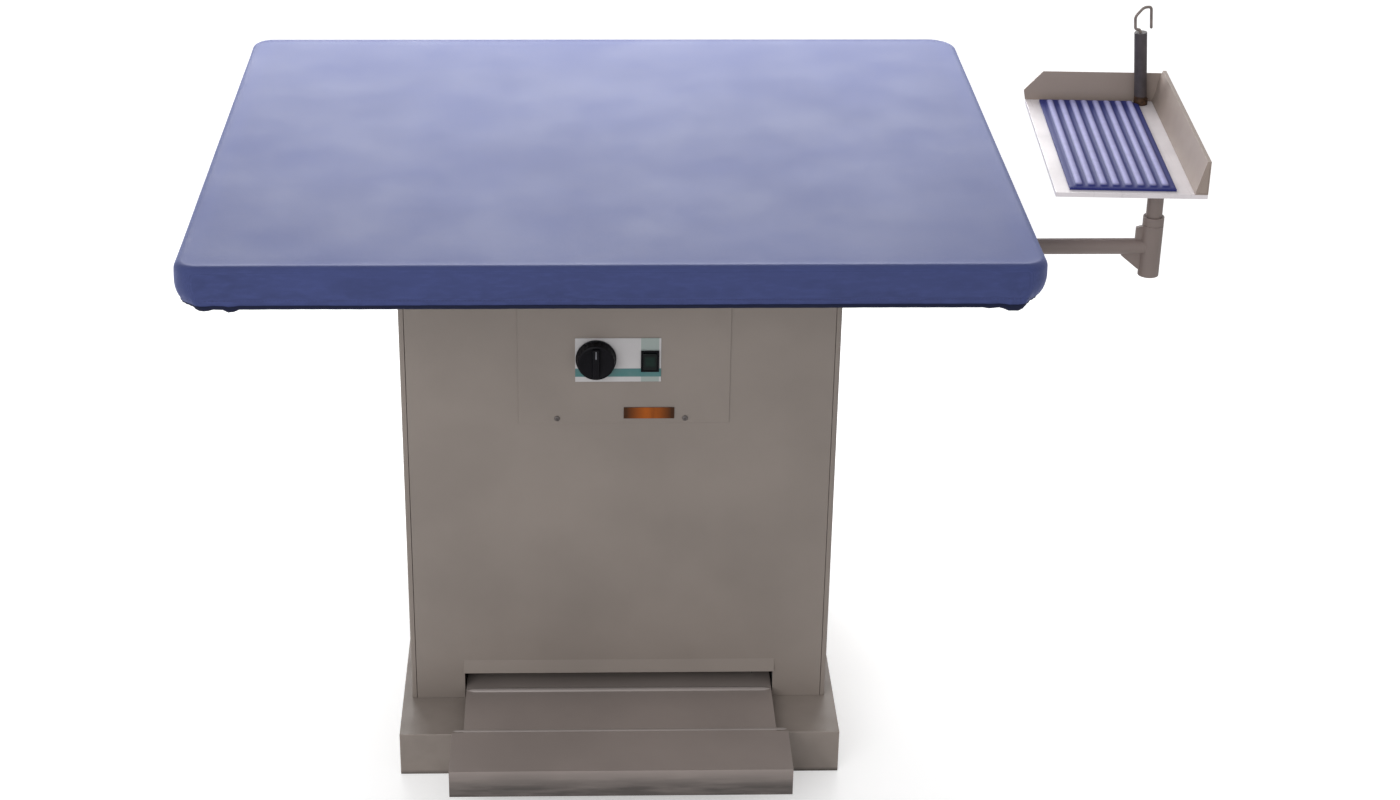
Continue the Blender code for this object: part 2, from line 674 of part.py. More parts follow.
def tabletop():
    """Cover, pad, air plate, heater and vacuum box, from the top down."""
    rings = (
        (COVER_EDGE, TOP_HEIGHT),
        (COVER_SHOULDER, TOP_HEIGHT - COVER_SHOULDER / 2),
        (COVER_SHOULDER / 4, TOP_HEIGHT - COVER_EDGE * 3 / 4),
        (0, TOP_HEIGHT - SKIRT_DEPTH / 2),
        (COVER_SHOULDER / 8, hem_bottom + COVER_EDGE),
        (COVER_SHOULDER / 4, hem_bottom + COVER_SHOULDER),
        (COVER_EDGE / 2, hem_bottom),
        (COVER_EDGE + HEM_WIDTH, hem_bottom),
    )
    cover = stacked("cover", rings, BLUE_CLOTH, False)
    cloth = cover.modifiers.new("cloth", "SOLIDIFY")
    cloth.thickness = COVER_THICKNESS
    cloth.offset = -1
    stacked("foam_pad", ((BOX_INSET + PAD_EDGE, pad_top), (BOX_INSET + PAD_EDGE / 3, pad_top - PAD_EDGE / 3),
                         (BOX_INSET, pad_top - PAD_EDGE), (BOX_INSET, pad_bottom)), FOAM, True)

    box_width = TOP_WIDTH - 2 * BOX_INSET
    box_depth = TOP_DEPTH - 2 * BOX_INSET
    outline = rounded_rectangle(TOP_SHIFT_X, top_y, box_width, box_depth, COVER_CORNER - BOX_INSET)

    pitch_x = box_width / (HOLES_X + 1)
    pitch_y = box_depth / (HOLES_Y + 1)
    columns = [TOP_SHIFT_X + (column - (HOLES_X - 1) / 2) * pitch_x for column in range(HOLES_X)]
    rows = [top_y + (row - (HOLES_Y - 1) / 2) * pitch_y for row in range(HOLES_Y)]
    holes = [rectangle(x, y, HOLE_ACROSS, HOLE_ACROSS) for x in columns for y in rows]
    prism("perforated_plate", outline, plate_bottom, plate_top, "Z", ZINC, holes=holes)

    box_left = TOP_SHIFT_X - box_width / 2
    box_right = TOP_SHIFT_X + box_width / 2
    inner = rounded_rectangle(TOP_SHIFT_X, top_y, box_width - 2 * BOX_SHEET, box_depth - 2 * BOX_SHEET,
                              COVER_CORNER - BOX_INSET - BOX_SHEET)
    box = prism("vacuum_box", outline, box_bottom, box_top, "Z", ZINC)
    hollow = prism("box_hollow", inner, box_floor, box_top + OVERRUN)
    outlet = rod("box_outlet", (0, axis_y, box_bottom - OVERRUN), (0, axis_y, box_floor + OVERRUN), bore,
                 sides=ROUND_SIDES)
    capillary_x = BULB_OUT_X - BULB_LENGTH / 2
    passage = rod("capillary_hole", (capillary_x, axis_y, box_bottom - OVERRUN),
                  (capillary_x, axis_y, box_floor + OVERRUN), CAPILLARY_HOLE / 2)
    cut(box, hollow, outlet, passage)

    rib_left = box_left + HEATER_MARGIN
    rib_right = box_right - BOX_SHEET - RIB_END_GAP
    rib_low = box_floor + GAP
    rib_pitch = (rib_right - rib_left) / RIB_SLOTS
    for name, side in (("box_rib_front", -1), ("box_rib_rear", 1)):
        rib_y = axis_y + side * RIB_SPACING / 2
        slots = [rectangle(rib_left + (slot + 0.5) * rib_pitch, (rib_low + box_top) / 2, RIB_SLOT_LENGTH,
                           RIB_SLOT_HEIGHT)
                 for slot in range(RIB_SLOTS)]
        rib = [(rib_left, rib_low), (rib_right, rib_low), (rib_right, box_top), (rib_left, box_top)]
        prism(name, rib, rib_y - RIB_SHEET / 2, rib_y + RIB_SHEET / 2, "Y", ZINC, holes=slots)

    heater_z = plate_bottom - GAP - HEATER_DIAMETER / 2
    turn_left = box_left + HEATER_MARGIN
    turn_right = box_right - HEATER_MARGIN
    route = [(turn_left, axis_y - (HEATER_RUNS - 1) / 2 * HEATER_PITCH, heater_z)]
    for run in range(HEATER_RUNS - 1):
        run_y = axis_y + (run - (HEATER_RUNS - 1) / 2) * HEATER_PITCH
        side = 1 if run % 2 == 0 else -1
        end_x = turn_right if side == 1 else turn_left
        for step in range(HEATER_TURN_STEPS + 1):
            turn = math.pi * (step / HEATER_TURN_STEPS - 0.5)
            route.append((end_x + side * HEATER_PITCH / 2 * math.cos(turn),
                          run_y + HEATER_PITCH / 2 * (1 + math.sin(turn)), heater_z))
    route.append((turn_left, axis_y + (HEATER_RUNS - 1) / 2 * HEATER_PITCH, heater_z))
    tube("heating_element", route, HEATER_DIAMETER, HEATER_STEEL)
    return capillary_x


def capillary(capillary_x):
    """Thermostat bulb under the air plate, and its capillary tube down to the control."""
    bulb_z = plate_bottom - GAP - BULB_DIAMETER / 2
    bulb = rod("thermostat_bulb", (BULB_OUT_X, axis_y, bulb_z), (BULB_OUT_X + BULB_LENGTH, axis_y, bulb_z),
               BULB_DIAMETER / 2, COPPER)
    knob_z = cabinet_top - CONTROL_DROP - KNOB_DROP
    body_back = cabinet_front + THERMOSTAT_DEPTH
    goal = Vector((KNOB_X - capillary_x, body_back + CAPILLARY_HOLE - axis_y, knob_z - bulb_z))
    shares = ((0, 0, 0.04), (0, 0, 0.20), (0, 0.08, 0.38), (0.10, 0.30, 0.60), (0.40, 0.62, 0.82),
              (0.80, 0.90, 0.97), (1, 1, 1))
    route = [(BULB_OUT_X + OVERRUN, axis_y, bulb_z), (capillary_x + CAPILLARY_DIAMETER, axis_y, bulb_z)]
    for across_share, ahead_share, down_share in shares:
        route.append((capillary_x + goal.x * across_share, axis_y + goal.y * ahead_share,
                      bulb_z + goal.z * down_share))
    route.append((KNOB_X, body_back + GAP, knob_z))
    drawn = tube("capillary_drawn", route, CAPILLARY_DIAMETER, COPPER)
    bpy.context.view_layer.update()
    mesh = bpy.data.meshes.new_from_object(drawn.evaluated_get(bpy.context.evaluated_depsgraph_get()))
    shape = bmesh.new()
    shape.from_mesh(mesh)
    bmesh.ops.remove_doubles(shape, verts=shape.verts, dist=WELD)
    bpy.data.objects.remove(drawn)
    join(bulb, from_bmesh("capillary_tube", shape))


def base():
    """Plinth with its floor plate."""
    half_x, half_y = BASE_WIDTH / 2, BASE_DEPTH / 2
    open_box("base_plinth", (-half_x, -half_y, 0), (half_x, half_y, BASE_HEIGHT), BASE_SHEET, -1, TAUPE_PAINT)
    inner_x = half_x - BASE_SHEET - GAP
    inner_y = half_y - BASE_SHEET - GAP
    block("floor_plate", (-inner_x, -inner_y, 0), (inner_x, inner_y, BASE_SHEET), ZINC)


def cabinet():
    """Side, front and rear panels, and the channels that carry the top."""
    strip_x = cabinet_half - CORNER_STRIP
    for name, side in (("cabinet_left_side", -1), ("cabinet_right_side", 1)):
        corner = rounded_path([(strip_x, cabinet_front), (cabinet_half, cabinet_front),
                               (cabinet_half, cabinet_back),
                               (cabinet_half - REAR_FLANGE, cabinet_back)], CORNER_RADIUS)
        path = [(strip_x, cabinet_front + PANEL_RETURN), *corner]
        if side < 0:
            path = [(-x, y) for x, y in reversed(path)]
        folded(name, path, CABINET_SHEET, cabinet_floor, cabinet_top, "Z", TAUPE_PAINT)

    panel_half = strip_x - PANEL_SEAM
    path = [(-panel_half, cabinet_front + PANEL_RETURN), (-panel_half, cabinet_front),
            (panel_half, cabinet_front), (panel_half, cabinet_front + PANEL_RETURN)]
    front = folded("front_panel", path, CABINET_SHEET, cabinet_floor, cabinet_top, "Z", TAUPE_PAINT)
    cut(front, block("pedal_slot", (-SLOT_WIDTH / 2, cabinet_front - OVERRUN, BASE_HEIGHT - OVERRUN),
                     (SLOT_WIDTH / 2, cabinet_front + CABINET_SHEET + OVERRUN, BASE_HEIGHT + SLOT_HEIGHT)))

    rear_half = cabinet_half - REAR_FLANGE + REAR_OVERLAP
    rear_low = cabinet_floor + REAR_MARGIN
    rear_high = cabinet_top - REAR_MARGIN
    outline = [(-rear_half, rear_low), (rear_half, rear_low), (rear_half, rear_high), (-rear_half, rear_high)]
    openings = (rectangle(outlet_x, outlet_z, outlet_width, FAN_HEIGHT),
                circle(GLAND_X, BASE_HEIGHT + GLAND_RISE, GLAND_THREAD / 2 + GAP, SMALL_SIDES))
    prism("rear_panel", outline, cabinet_back + GAP, cabinet_back + GAP + CABINET_SHEET, "Y", TAUPE_PAINT,
          holes=openings)

    outer = cabinet_half - GAP
    for name, side in (("table_bracket_left", -1), ("table_bracket_right", 1)):
        path = [(outer - BRACKET_FLANGE, cabinet_top + GAP), (outer, cabinet_top + GAP), (outer, bracket_top),
                (outer - BRACKET_FLANGE, bracket_top)]
        if side < 0:
            path = [(-x, z) for x, z in reversed(path)]
        folded(name, path, BRACKET_SHEET, cabinet_front + BRACKET_END_GAP, cabinet_back - BRACKET_END_GAP,
               "Y", TAUPE_DARK)
    return front


def controls(front):
    """Control panel with the thermostat, switch, label, badge and screws."""
    back = cabinet_front - GAP
    face = back - CONTROL_SHEET
    label_face = face - GAP - LABEL_SHEET
    top = cabinet_top - CONTROL_DROP
    bottom = top - CONTROL_HEIGHT
    knob_z = top - KNOB_DROP
    switch_z = knob_z + SWITCH_RISE
    body_width = SWITCH_WIDTH - 2 * SWITCH_LIP
    body_height = SWITCH_HEIGHT - 2 * SWITCH_LIP
    spindle_hole = circle(KNOB_X, knob_z, SPINDLE_DIAMETER / 2 + CUT_OUT_GAP, SMALL_SIDES)
    switch_hole = rectangle(SWITCH_X, switch_z, body_width + 2 * GAP, body_height + 2 * GAP)
    screw_z = bottom + SCREW_RISE
    screw_holes = [circle(x, screw_z, SCREW_SHANK / 2 + GAP, SMALL_SIDES)
                   for x in (SCREW_LEFT_X, SCREW_RIGHT_X)]
    prism("control_panel", rectangle(CONTROL_X, (top + bottom) / 2, CONTROL_WIDTH, CONTROL_HEIGHT), face,
          back, "Y", TAUPE_PAINT, holes=(spindle_hole, switch_hole, *screw_holes))
    prism("label_plate", rectangle(LABEL_X, knob_z + LABEL_RISE, LABEL_WIDTH, LABEL_HEIGHT), label_face,
          face - GAP, "Y", LABEL_WHITE, holes=(spindle_hole, switch_hole))
    prism("badge_plate", rectangle(BADGE_X, bottom + BADGE_RISE, BADGE_WIDTH, BADGE_HEIGHT),
          face - GAP - BADGE_SHEET, face - GAP, "Y", ORANGE)

    through = (cabinet_front - OVERRUN, cabinet_front + CABINET_SHEET + OVERRUN)
    body_half = THERMOSTAT_WIDTH / 2
    openings = [
        prism("thermostat_opening",
              rectangle(KNOB_X, knob_z, THERMOSTAT_WIDTH + 2 * CUT_OUT_GAP,
                        THERMOSTAT_WIDTH + 2 * CUT_OUT_GAP), *through, "Y"),
        prism("switch_opening",
              rectangle(SWITCH_X, switch_z, body_width + 2 * CUT_OUT_GAP, body_height + 2 * CUT_OUT_GAP),
              *through, "Y"),
    ]
    for name, x in (("control_screw_left", SCREW_LEFT_X), ("control_screw_right", SCREW_RIGHT_X)):
        head = turned(name,
                      [(0, SCREW_HEAD_HEIGHT), (SCREW_HEAD / 4, SCREW_HEAD_HEIGHT),
                       (SCREW_HEAD / 2, SCREW_HEAD_HEIGHT / 3),
                       (SCREW_HEAD / 2, 0), (SCREW_SHANK / 2, 0), (SCREW_SHANK / 2, -SCREW_LENGTH),
                       (0, -SCREW_LENGTH)],
                      (x, face - GAP, screw_z), STEEL, sides=SMALL_SIDES, axis="-Y")
        smooth(head)
        openings.append(rod(name + "_hole", (x, through[0], screw_z), (x, through[1], screw_z),
                            SCREW_SHANK / 2 + GAP))
    cut(front, *openings)

    body_front = back + GAP
    thermostat = block("thermostat_body", (KNOB_X - body_half, body_front, knob_z - body_half),
                       (KNOB_X + body_half, cabinet_front + THERMOSTAT_DEPTH, knob_z + body_half),
                       GREY_PLASTIC)
    spindle_end = label_face - 2 * GAP + SPINDLE_LENGTH
    cut(thermostat,
        rod("spindle_bore", (KNOB_X, body_front - OVERRUN, knob_z), (KNOB_X, spindle_end + OVERRUN, knob_z),
            SPINDLE_DIAMETER / 2 + RUNNING_GAP))
    radius = KNOB_DIAMETER / 2
    knob_back = label_face - 2 * GAP
    knob = turned("thermostat_knob",
                  [(0, KNOB_DEPTH - KNOB_GRIP_DEPTH), (radius - KNOB_FLARE, KNOB_DEPTH - KNOB_GRIP_DEPTH),
                   (radius - KNOB_FLARE * 3 / 4, KNOB_SKIRT), (radius, KNOB_SKIRT / 2), (radius, 0),
                   (SPINDLE_DIAMETER / 2, 0), (SPINDLE_DIAMETER / 2, -SPINDLE_LENGTH), (0, -SPINDLE_LENGTH)],
                  (KNOB_X, knob_back, knob_z), BLACK_PLASTIC, axis="-Y")
    grip_half = radius - KNOB_FLARE * 2
    grip = block("knob_grip", (KNOB_X - KNOB_GRIP_WIDTH / 2, knob_back - KNOB_DEPTH, knob_z - grip_half),
                 (KNOB_X + KNOB_GRIP_WIDTH / 2, knob_back - KNOB_DEPTH + KNOB_GRIP_DEPTH + OVERRUN,
                  knob_z + grip_half))
    join(smooth(knob), grip)

    bezel_front = label_face - GAP - SWITCH_BEZEL
    half_x, half_z = SWITCH_WIDTH / 2, SWITCH_HEIGHT / 2
    body = block("switch_body", (SWITCH_X - half_x, bezel_front, switch_z - half_z),
                 (SWITCH_X + half_x, label_face - GAP, switch_z + half_z), BLACK_PLASTIC)
    join(body,
         block("switch_case",
               (SWITCH_X - body_width / 2, bezel_front + SWITCH_BEZEL / 2, switch_z - body_height / 2),
               (SWITCH_X + body_width / 2, bezel_front + SWITCH_DEPTH, switch_z + body_height / 2)))
    pocket_x = half_x - ROCKER_WALL
    pocket_z = half_z - ROCKER_WALL
    cut(body, block("rocker_pocket", (SWITCH_X - pocket_x, bezel_front - OVERRUN, switch_z - pocket_z),
                    (SWITCH_X + pocket_x, bezel_front + ROCKER_DEEP, switch_z + pocket_z)))
    tilt = math.radians(ROCKER_TILT_DEG)
    pivot = bezel_front + SWITCH_BEZEL
    reach = pocket_z - CUT_OUT_GAP
    sway = reach * math.tan(tilt)
    outline = [(pivot + ROCKER_STAND, -reach / 2), (pivot + ROCKER_STAND, reach / 2),
               (pivot - ROCKER_STAND / 2, reach),
               (pivot - ROCKER_STAND / 2 - sway, reach), (pivot - ROCKER_STAND / 2, 0),
               (pivot - ROCKER_STAND / 2, -reach), (pivot, -reach)]
    prism("rocker_button", [(y, switch_z + z) for y, z in outline], SWITCH_X - pocket_x + GAP,
          SWITCH_X + pocket_x - GAP, "X", GREEN_BLACK)


def pedal():
    """Pedal plate with its shaft, brackets, spring and microswitch."""
    front = base_front - TREADLE_REACH
    bar_back = front + TREADLE_DEPTH
    neck_back = pivot_y + NECK_TAIL
    tail_back = rod_y + TAIL_END
    half = neck_half + TREADLE_WING
    tail_left, tail_right = TAIL_X - TAIL_WIDTH / 2, TAIL_X + TAIL_WIDTH / 2
    outline = [(-half, front), (half, front), (half, bar_back), (neck_half, bar_back), (neck_half, neck_back),
               (tail_right, neck_back), (tail_right, tail_back), (tail_left, tail_back),
               (tail_left, neck_back), (-neck_half, neck_back), (-neck_half, bar_back), (-half, bar_back)]
    plate = prism("pedal", outline, neck_bottom, neck_top, "Z", TAUPE_PAINT)
    lip = block("pedal_lip", (-half, front, neck_top - TREADLE_LIP),
                (half, front + PEDAL_SHEET, neck_top - PEDAL_SHEET / 2))
    pieces = [lip]
    for side in (-1, 1):
        edge = sorted((side * half, side * (half - PEDAL_SHEET)))
        pieces.append(block("pedal_end", (edge[0], front + PEDAL_SHEET / 2, neck_top - TREADLE_END_FLANGE),
                            (edge[1], bar_back, neck_top - PEDAL_SHEET / 2)))
        ear = sorted((side * neck_half, side * (neck_half - EAR_SHEET)))
        base_line = neck_bottom + PEDAL_SHEET / 4
        ear_outline = [(pivot_y - EAR_RADIUS, base_line), (pivot_y + EAR_RADIUS - GAP, base_line)]
        ear_outline += [(pivot_y + EAR_RADIUS * math.cos(math.pi * step / 8),
                         pivot_z + EAR_RADIUS * math.sin(math.pi * step / 8))
                        for step in range(9)]
        pieces.append(prism("pedal_ear", ear_outline, *ear, "X"))
    join(plate, *pieces)
    bracket_inner = neck_half + EAR_SHEET / 2 + SLOT_SIDE_GAP
    bracket_outer = bracket_inner + EAR_SHEET
    shaft_half = bracket_outer + SHAFT_OVERHANG
    shaft_radius = SHAFT_DIAMETER / 2
    hole = rod("shaft_hole", (-shaft_half, pivot_y, pivot_z), (shaft_half, pivot_y, pivot_z),
               shaft_radius + RUNNING_GAP)
    cut(plate, hole)
    rod("pedal_shaft", (-shaft_half, pivot_y, pivot_z), (shaft_half, pivot_y, pivot_z), shaft_radius, STEEL)

    tab_z = BASE_HEIGHT + SPRING_TAB_RISE
    spring_y = pivot_y - SPRING_SETBACK
    spring_x = neck_half * SPRING_X_SHARE
    margin = EAR_RADIUS + EAR_SHEET
    plain = [(pivot_y - margin, cabinet_floor), (pivot_y + margin, cabinet_floor),
             (pivot_y + margin, pivot_z + margin), (pivot_y - margin, pivot_z + margin)]
    tall = [(spring_y - SPRING_TAB_DEPTH / 2, cabinet_floor), (pivot_y + margin, cabinet_floor),
            (pivot_y + margin, pivot_z + margin),
            (spring_y + SPRING_TAB_DEPTH / 2, pivot_z + margin), (spring_y + SPRING_TAB_DEPTH / 2, tab_z),
            (spring_y - SPRING_TAB_DEPTH / 2, tab_z)]
    for name, side, outline in (("pedal_bracket_left", -1, plain), ("pedal_bracket_right", 1, tall)):
        wall = sorted((side * bracket_inner, side * bracket_outer))
        bracket = prism(name, outline, *wall, "X", ZINC,
                        holes=[circle(pivot_y, pivot_z, shaft_radius + RUNNING_GAP, SMALL_SIDES)])
        foot = sorted((side * (bracket_inner + EAR_SHEET / 2), side * (bracket_outer + MICROSWITCH_FOOT)))
        join(bracket,
             block("bracket_foot", (foot[0], pivot_y - margin, cabinet_floor),
                   (foot[1], pivot_y + margin, cabinet_floor + EAR_SHEET)))
        if side > 0:
            join(bracket,
                 block("spring_tab",
                       (spring_x - SPRING_RADIUS, spring_y - SPRING_TAB_DEPTH / 2, tab_z - EAR_SHEET),
                       (bracket_inner + EAR_SHEET / 2, spring_y + SPRING_TAB_DEPTH / 2, tab_z)))

    low = neck_top + GAP
    high = tab_z - EAR_SHEET - GAP
    coil_low = low + SPRING_END
    coil_high = high - SPRING_END
    points = SPRING_TURNS * SPRING_TURN_POINTS
    route = [(spring_x, spring_y, low), (spring_x, spring_y, low + 2 * SPRING_WIRE)]
    for step in range(points + 1):
        turn = 2 * math.pi * step / SPRING_TURN_POINTS
        route.append((spring_x + SPRING_RADIUS * math.cos(turn), spring_y + SPRING_RADIUS * math.sin(turn),
                      coil_low + (coil_high - coil_low) * step / points))
    route += [(spring_x, spring_y, high - 2 * SPRING_WIRE), (spring_x, spring_y, high)]
    tube("pedal_return_spring", route, SPRING_WIRE, STEEL)
    print("spring gap between turns", (coil_high - coil_low) / SPRING_TURNS - SPRING_WIRE)

    plunger_y = pivot_y + PLUNGER_SETBACK
    case_low = neck_top + PLUNGER_STAND
    case_high = case_low + MICROSWITCH_HEIGHT
    case = block("microswitch_body",
                 (TAIL_X - MICROSWITCH_WIDTH / 2, plunger_y - MICROSWITCH_LENGTH / 2, case_low),
                 (TAIL_X + MICROSWITCH_WIDTH / 2, plunger_y + MICROSWITCH_LENGTH / 2, case_high),
                 BLACK_PLASTIC)
    leg_x = TAIL_X - TAIL_WIDTH / 2 - SLOT_SIDE_GAP - MICROSWITCH_LEG
    leg_low = plunger_y - MICROSWITCH_LENGTH / 4
    leg_high = plunger_y + MICROSWITCH_LENGTH / 2
    leg = block("microswitch_leg", (leg_x, leg_low, cabinet_floor),
                (leg_x + MICROSWITCH_LEG, leg_high, case_high - OVERRUN))
    arm = block("microswitch_arm",
                (leg_x + MICROSWITCH_LEG / 2, leg_low, case_high - OVERRUN - MICROSWITCH_LEG),
                (TAIL_X, leg_high, case_high - OVERRUN))
    foot = block("microswitch_foot", (leg_x - MICROSWITCH_FOOT, leg_low, cabinet_floor),
                 (leg_x + MICROSWITCH_LEG / 2, leg_high, cabinet_floor + MICROSWITCH_LEG))
    join(case, arm, leg, foot)
    plunger_low = neck_top + GAP
    plunger_high = plunger_low + PLUNGER_LENGTH
    travel = PLUNGER_SETBACK * pedal_travel
    cut(case,
        rod("plunger_bore", (TAIL_X, plunger_y, case_low - OVERRUN),
            (TAIL_X, plunger_y, plunger_high + travel + OVERRUN), PLUNGER_DIAMETER / 2 + RUNNING_GAP))
    rod("microswitch_plunger", (TAIL_X, plunger_y, plunger_low), (TAIL_X, plunger_y, plunger_high),
        PLUNGER_DIAMETER / 2, GREY_PLASTIC)


def air_path():
    """Suction duct, valve, fan, motor and exhaust."""
    flange = DUCT_FLANGE_THICKNESS
    smooth(turned("suction_duct",
                  [(flange_radius, duct_top), (flange_radius, duct_top - flange),
                   (duct_outer, duct_top - flange),
                   (duct_outer, duct_bottom + flange), (flange_radius, duct_bottom + flange),
                   (flange_radius, duct_bottom),
                   (bore, duct_bottom), (bore, duct_top)], (0, axis_y, 0), ZINC))
    valve = smooth(turned("valve_housing",
                          [(flange_radius, valve_top), (flange_radius, valve_top - flange),
                           (duct_outer, valve_top - flange),
                           (duct_outer, valve_bottom + flange), (flange_radius, valve_bottom + flange),
                           (flange_radius, valve_bottom), (bore, valve_bottom), (bore, valve_top)],
                          (0, axis_y, 0), ZINC))
    shaft = FLAP_SHAFT / 2
    eye_x = TAIL_X
    lever_x = eye_x - LEVER_SHEET / 2 - LEVER_GAP - LEVER_SHEET
    left_end = -duct_outer - FLAP_SHAFT_END
    cut(valve,
        rod("flap_shaft_hole", (left_end - OVERRUN, axis_y, valve_middle), (lever_x, axis_y, valve_middle),
            shaft + RUNNING_GAP))
    flap = rod("valve_flap", (0, axis_y, valve_middle - FLAP_THICKNESS / 2),
               (0, axis_y, valve_middle + FLAP_THICKNESS / 2), bore - FLAP_GAP, ZINC, sides=ROUND_SIDES)
    pin_y = axis_y + lever_arm * math.cos(lever_lean)
    pin_z = valve_middle - lever_arm * math.sin(lever_lean)
    pieces = [rod("flap_shaft", (left_end, axis_y, valve_middle),
                  (lever_x + LEVER_SHEET / 2, axis_y, valve_middle), shaft),
              prism("lever_plate", lever_outline(pin_y, pin_z), lever_x, lever_x + LEVER_SHEET, "X"),
              rod("lever_pin", (lever_x + LEVER_SHEET / 2, pin_y, pin_z),
                  (eye_x + LEVER_SHEET / 2 + OVERRUN, pin_y, pin_z), LEVER_PIN / 2)]
    join(flap, *pieces)

    eye_low = pin_z - ROD_EYE_HEIGHT / 2
    link = prism("valve_link_rod", rectangle(pin_y, pin_z, ROD_EYE_WIDTH, ROD_EYE_HEIGHT),
                 eye_x - LEVER_SHEET / 2, eye_x + LEVER_SHEET / 2,
                 "X", STEEL, holes=[rectangle(pin_y, pin_z, ROD_SLOT_WIDTH, ROD_SLOT_HEIGHT)])
    foot = neck_top + 2 * GAP
    radius = ROD_DIAMETER / 2
    stem = turned("link_stem",
                  [(0, eye_low + radius), (radius, eye_low + radius), (radius, foot + radius),
                   (radius * ROD_TIP_SHARE, foot + radius * (1 - ROD_TIP_SHARE)),
                   (0, foot)], (eye_x, rod_y, 0), sides=SMALL_SIDES)
    join(link, stem)

    shelf_half = cabinet_half - CABINET_SHEET - GAP
    path = [(-shelf_half, shelf_top - SHELF_FLANGE), (-shelf_half, shelf_top), (shelf_half, shelf_top),
            (shelf_half, shelf_top - SHELF_FLANGE)]
    path.reverse()
    shelf = folded("fan_shelf", path, SHELF_SHEET, axis_y - SHELF_FRONT, axis_y + SHELF_REAR, "Y", ZINC)
    motor_hole = rod("motor_hole", (0, axis_y, shelf_top - SHELF_SHEET - OVERRUN),
                     (0, axis_y, shelf_top + OVERRUN), MOTOR_FLANGE / 2 + MOTOR_HOLE_GAP, sides=ROUND_SIDES)
    rod_hole = rod("rod_hole", (eye_x, rod_y, shelf_top - SHELF_SHEET - OVERRUN),
                   (eye_x, rod_y, shelf_top + OVERRUN), ROD_HOLE / 2)
    cut(shelf, motor_hole, rod_hole)

    corner = FAN_PLATE / 2 - BUFFER_INSET
    for name, x, y in (("fan_buffer_front_left", -corner, -corner),
                       ("fan_buffer_front_right", corner, -corner), ("fan_buffer_rear", -corner, corner)):
        rod(name, (x, axis_y + y, shelf_top + GAP), (x, axis_y + y, shelf_top + GAP + BUFFER_HEIGHT),
            BUFFER_DIAMETER / 2, BLACK_RUBBER)

    square = rectangle(0, axis_y, FAN_PLATE, FAN_PLATE)
    housing = prism("fan_housing", square, fan_bottom, fan_floor, "Z", TAUPE_DARK,
                    holes=[circle(0, axis_y, SHAFT_OPENING / 2, SMALL_SIDES)])
    path = [(VOLUTE_END, axis_y + FAN_PLATE / 2)]
    for step in range(VOLUTE_STEPS + 1):
        turn = 2 * math.pi + (tongue - 2 * math.pi) * step / VOLUTE_STEPS
        radius = VOLUTE_START + (VOLUTE_END - VOLUTE_START) * turn / (2 * math.pi)
        path.append((radius * math.cos(turn), axis_y + radius * math.sin(turn)))
    volute = folded("volute", list(reversed(path)), FAN_SHEET, fan_floor - FAN_SHEET / 2, fan_top)
    tongue_y = axis_y + tongue_radius * math.sin(tongue)
    throat = block("volute_throat", (tongue_x - FAN_SHEET, tongue_y - FAN_SHEET, fan_floor - FAN_SHEET / 2),
                   (tongue_x, axis_y + FAN_PLATE / 2, fan_top))
    join(housing, volute, throat)
    prism("fan_cover", square, fan_cover_bottom, fan_cover_top, "Z", TAUPE_DARK,
          holes=[circle(0, axis_y, bore)])

    disc_low = fan_floor + IMPELLER_RISE
    disc_top = disc_low + BLADE_THICKNESS
    shaft_radius = MOTOR_SHAFT / 2
    impeller = rod("impeller", (0, axis_y, disc_low), (0, axis_y, disc_top), IMPELLER_RADIUS, ALUMINIUM,
                   sides=ROUND_SIDES)
    join(impeller, rod("impeller_hub", (0, axis_y, disc_low), (0, axis_y, disc_low + HUB_HEIGHT), HUB_RADIUS))
    for blade in range(IMPELLER_BLADES):
        turn = Matrix.Rotation(2 * math.pi * (blade + 0.5) / IMPELLER_BLADES, 4, "Z")
        vane = block("blade", (BLADE_ROOT, -BLADE_THICKNESS / 2, disc_top - BLADE_THICKNESS / 2),
                     (IMPELLER_RADIUS - BLADE_THICKNESS, BLADE_THICKNESS / 2, disc_top + BLADE_HEIGHT))
        vane.data.transform(Matrix.Translation((0, axis_y, 0)) @ turn)
        join(impeller, vane)
    hub_top = disc_low + HUB_HEIGHT
    cut(impeller,
        rod("hub_bore", (0, axis_y, disc_low - OVERRUN), (0, axis_y, hub_top + OVERRUN), shaft_radius + GAP))

    flange_top = fan_bottom - GAP
    motor_low = flange_top - MOTOR_HEIGHT
    motor_radius = MOTOR_DIAMETER / 2
    bore_low = flange_top - MOTOR_BORE_DEPTH
    smooth(turned("motor_body",
                  [(MOTOR_FLANGE / 2, flange_top), (MOTOR_FLANGE / 2, flange_top - MOTOR_FLANGE_THICKNESS),
                   (motor_radius, flange_top - MOTOR_FLANGE_THICKNESS),
                   (motor_radius, motor_low + MOTOR_BELL),
                   (motor_radius - MOTOR_BELL, motor_low), (0, motor_low), (0, bore_low),
                   (shaft_radius + RUNNING_GAP, bore_low), (shaft_radius + RUNNING_GAP, flange_top)],
                  (0, axis_y, 0), ALUMINIUM))
    rod("motor_shaft", (0, axis_y, bore_low + GAP), (0, axis_y, hub_top), shaft_radius, STEEL)

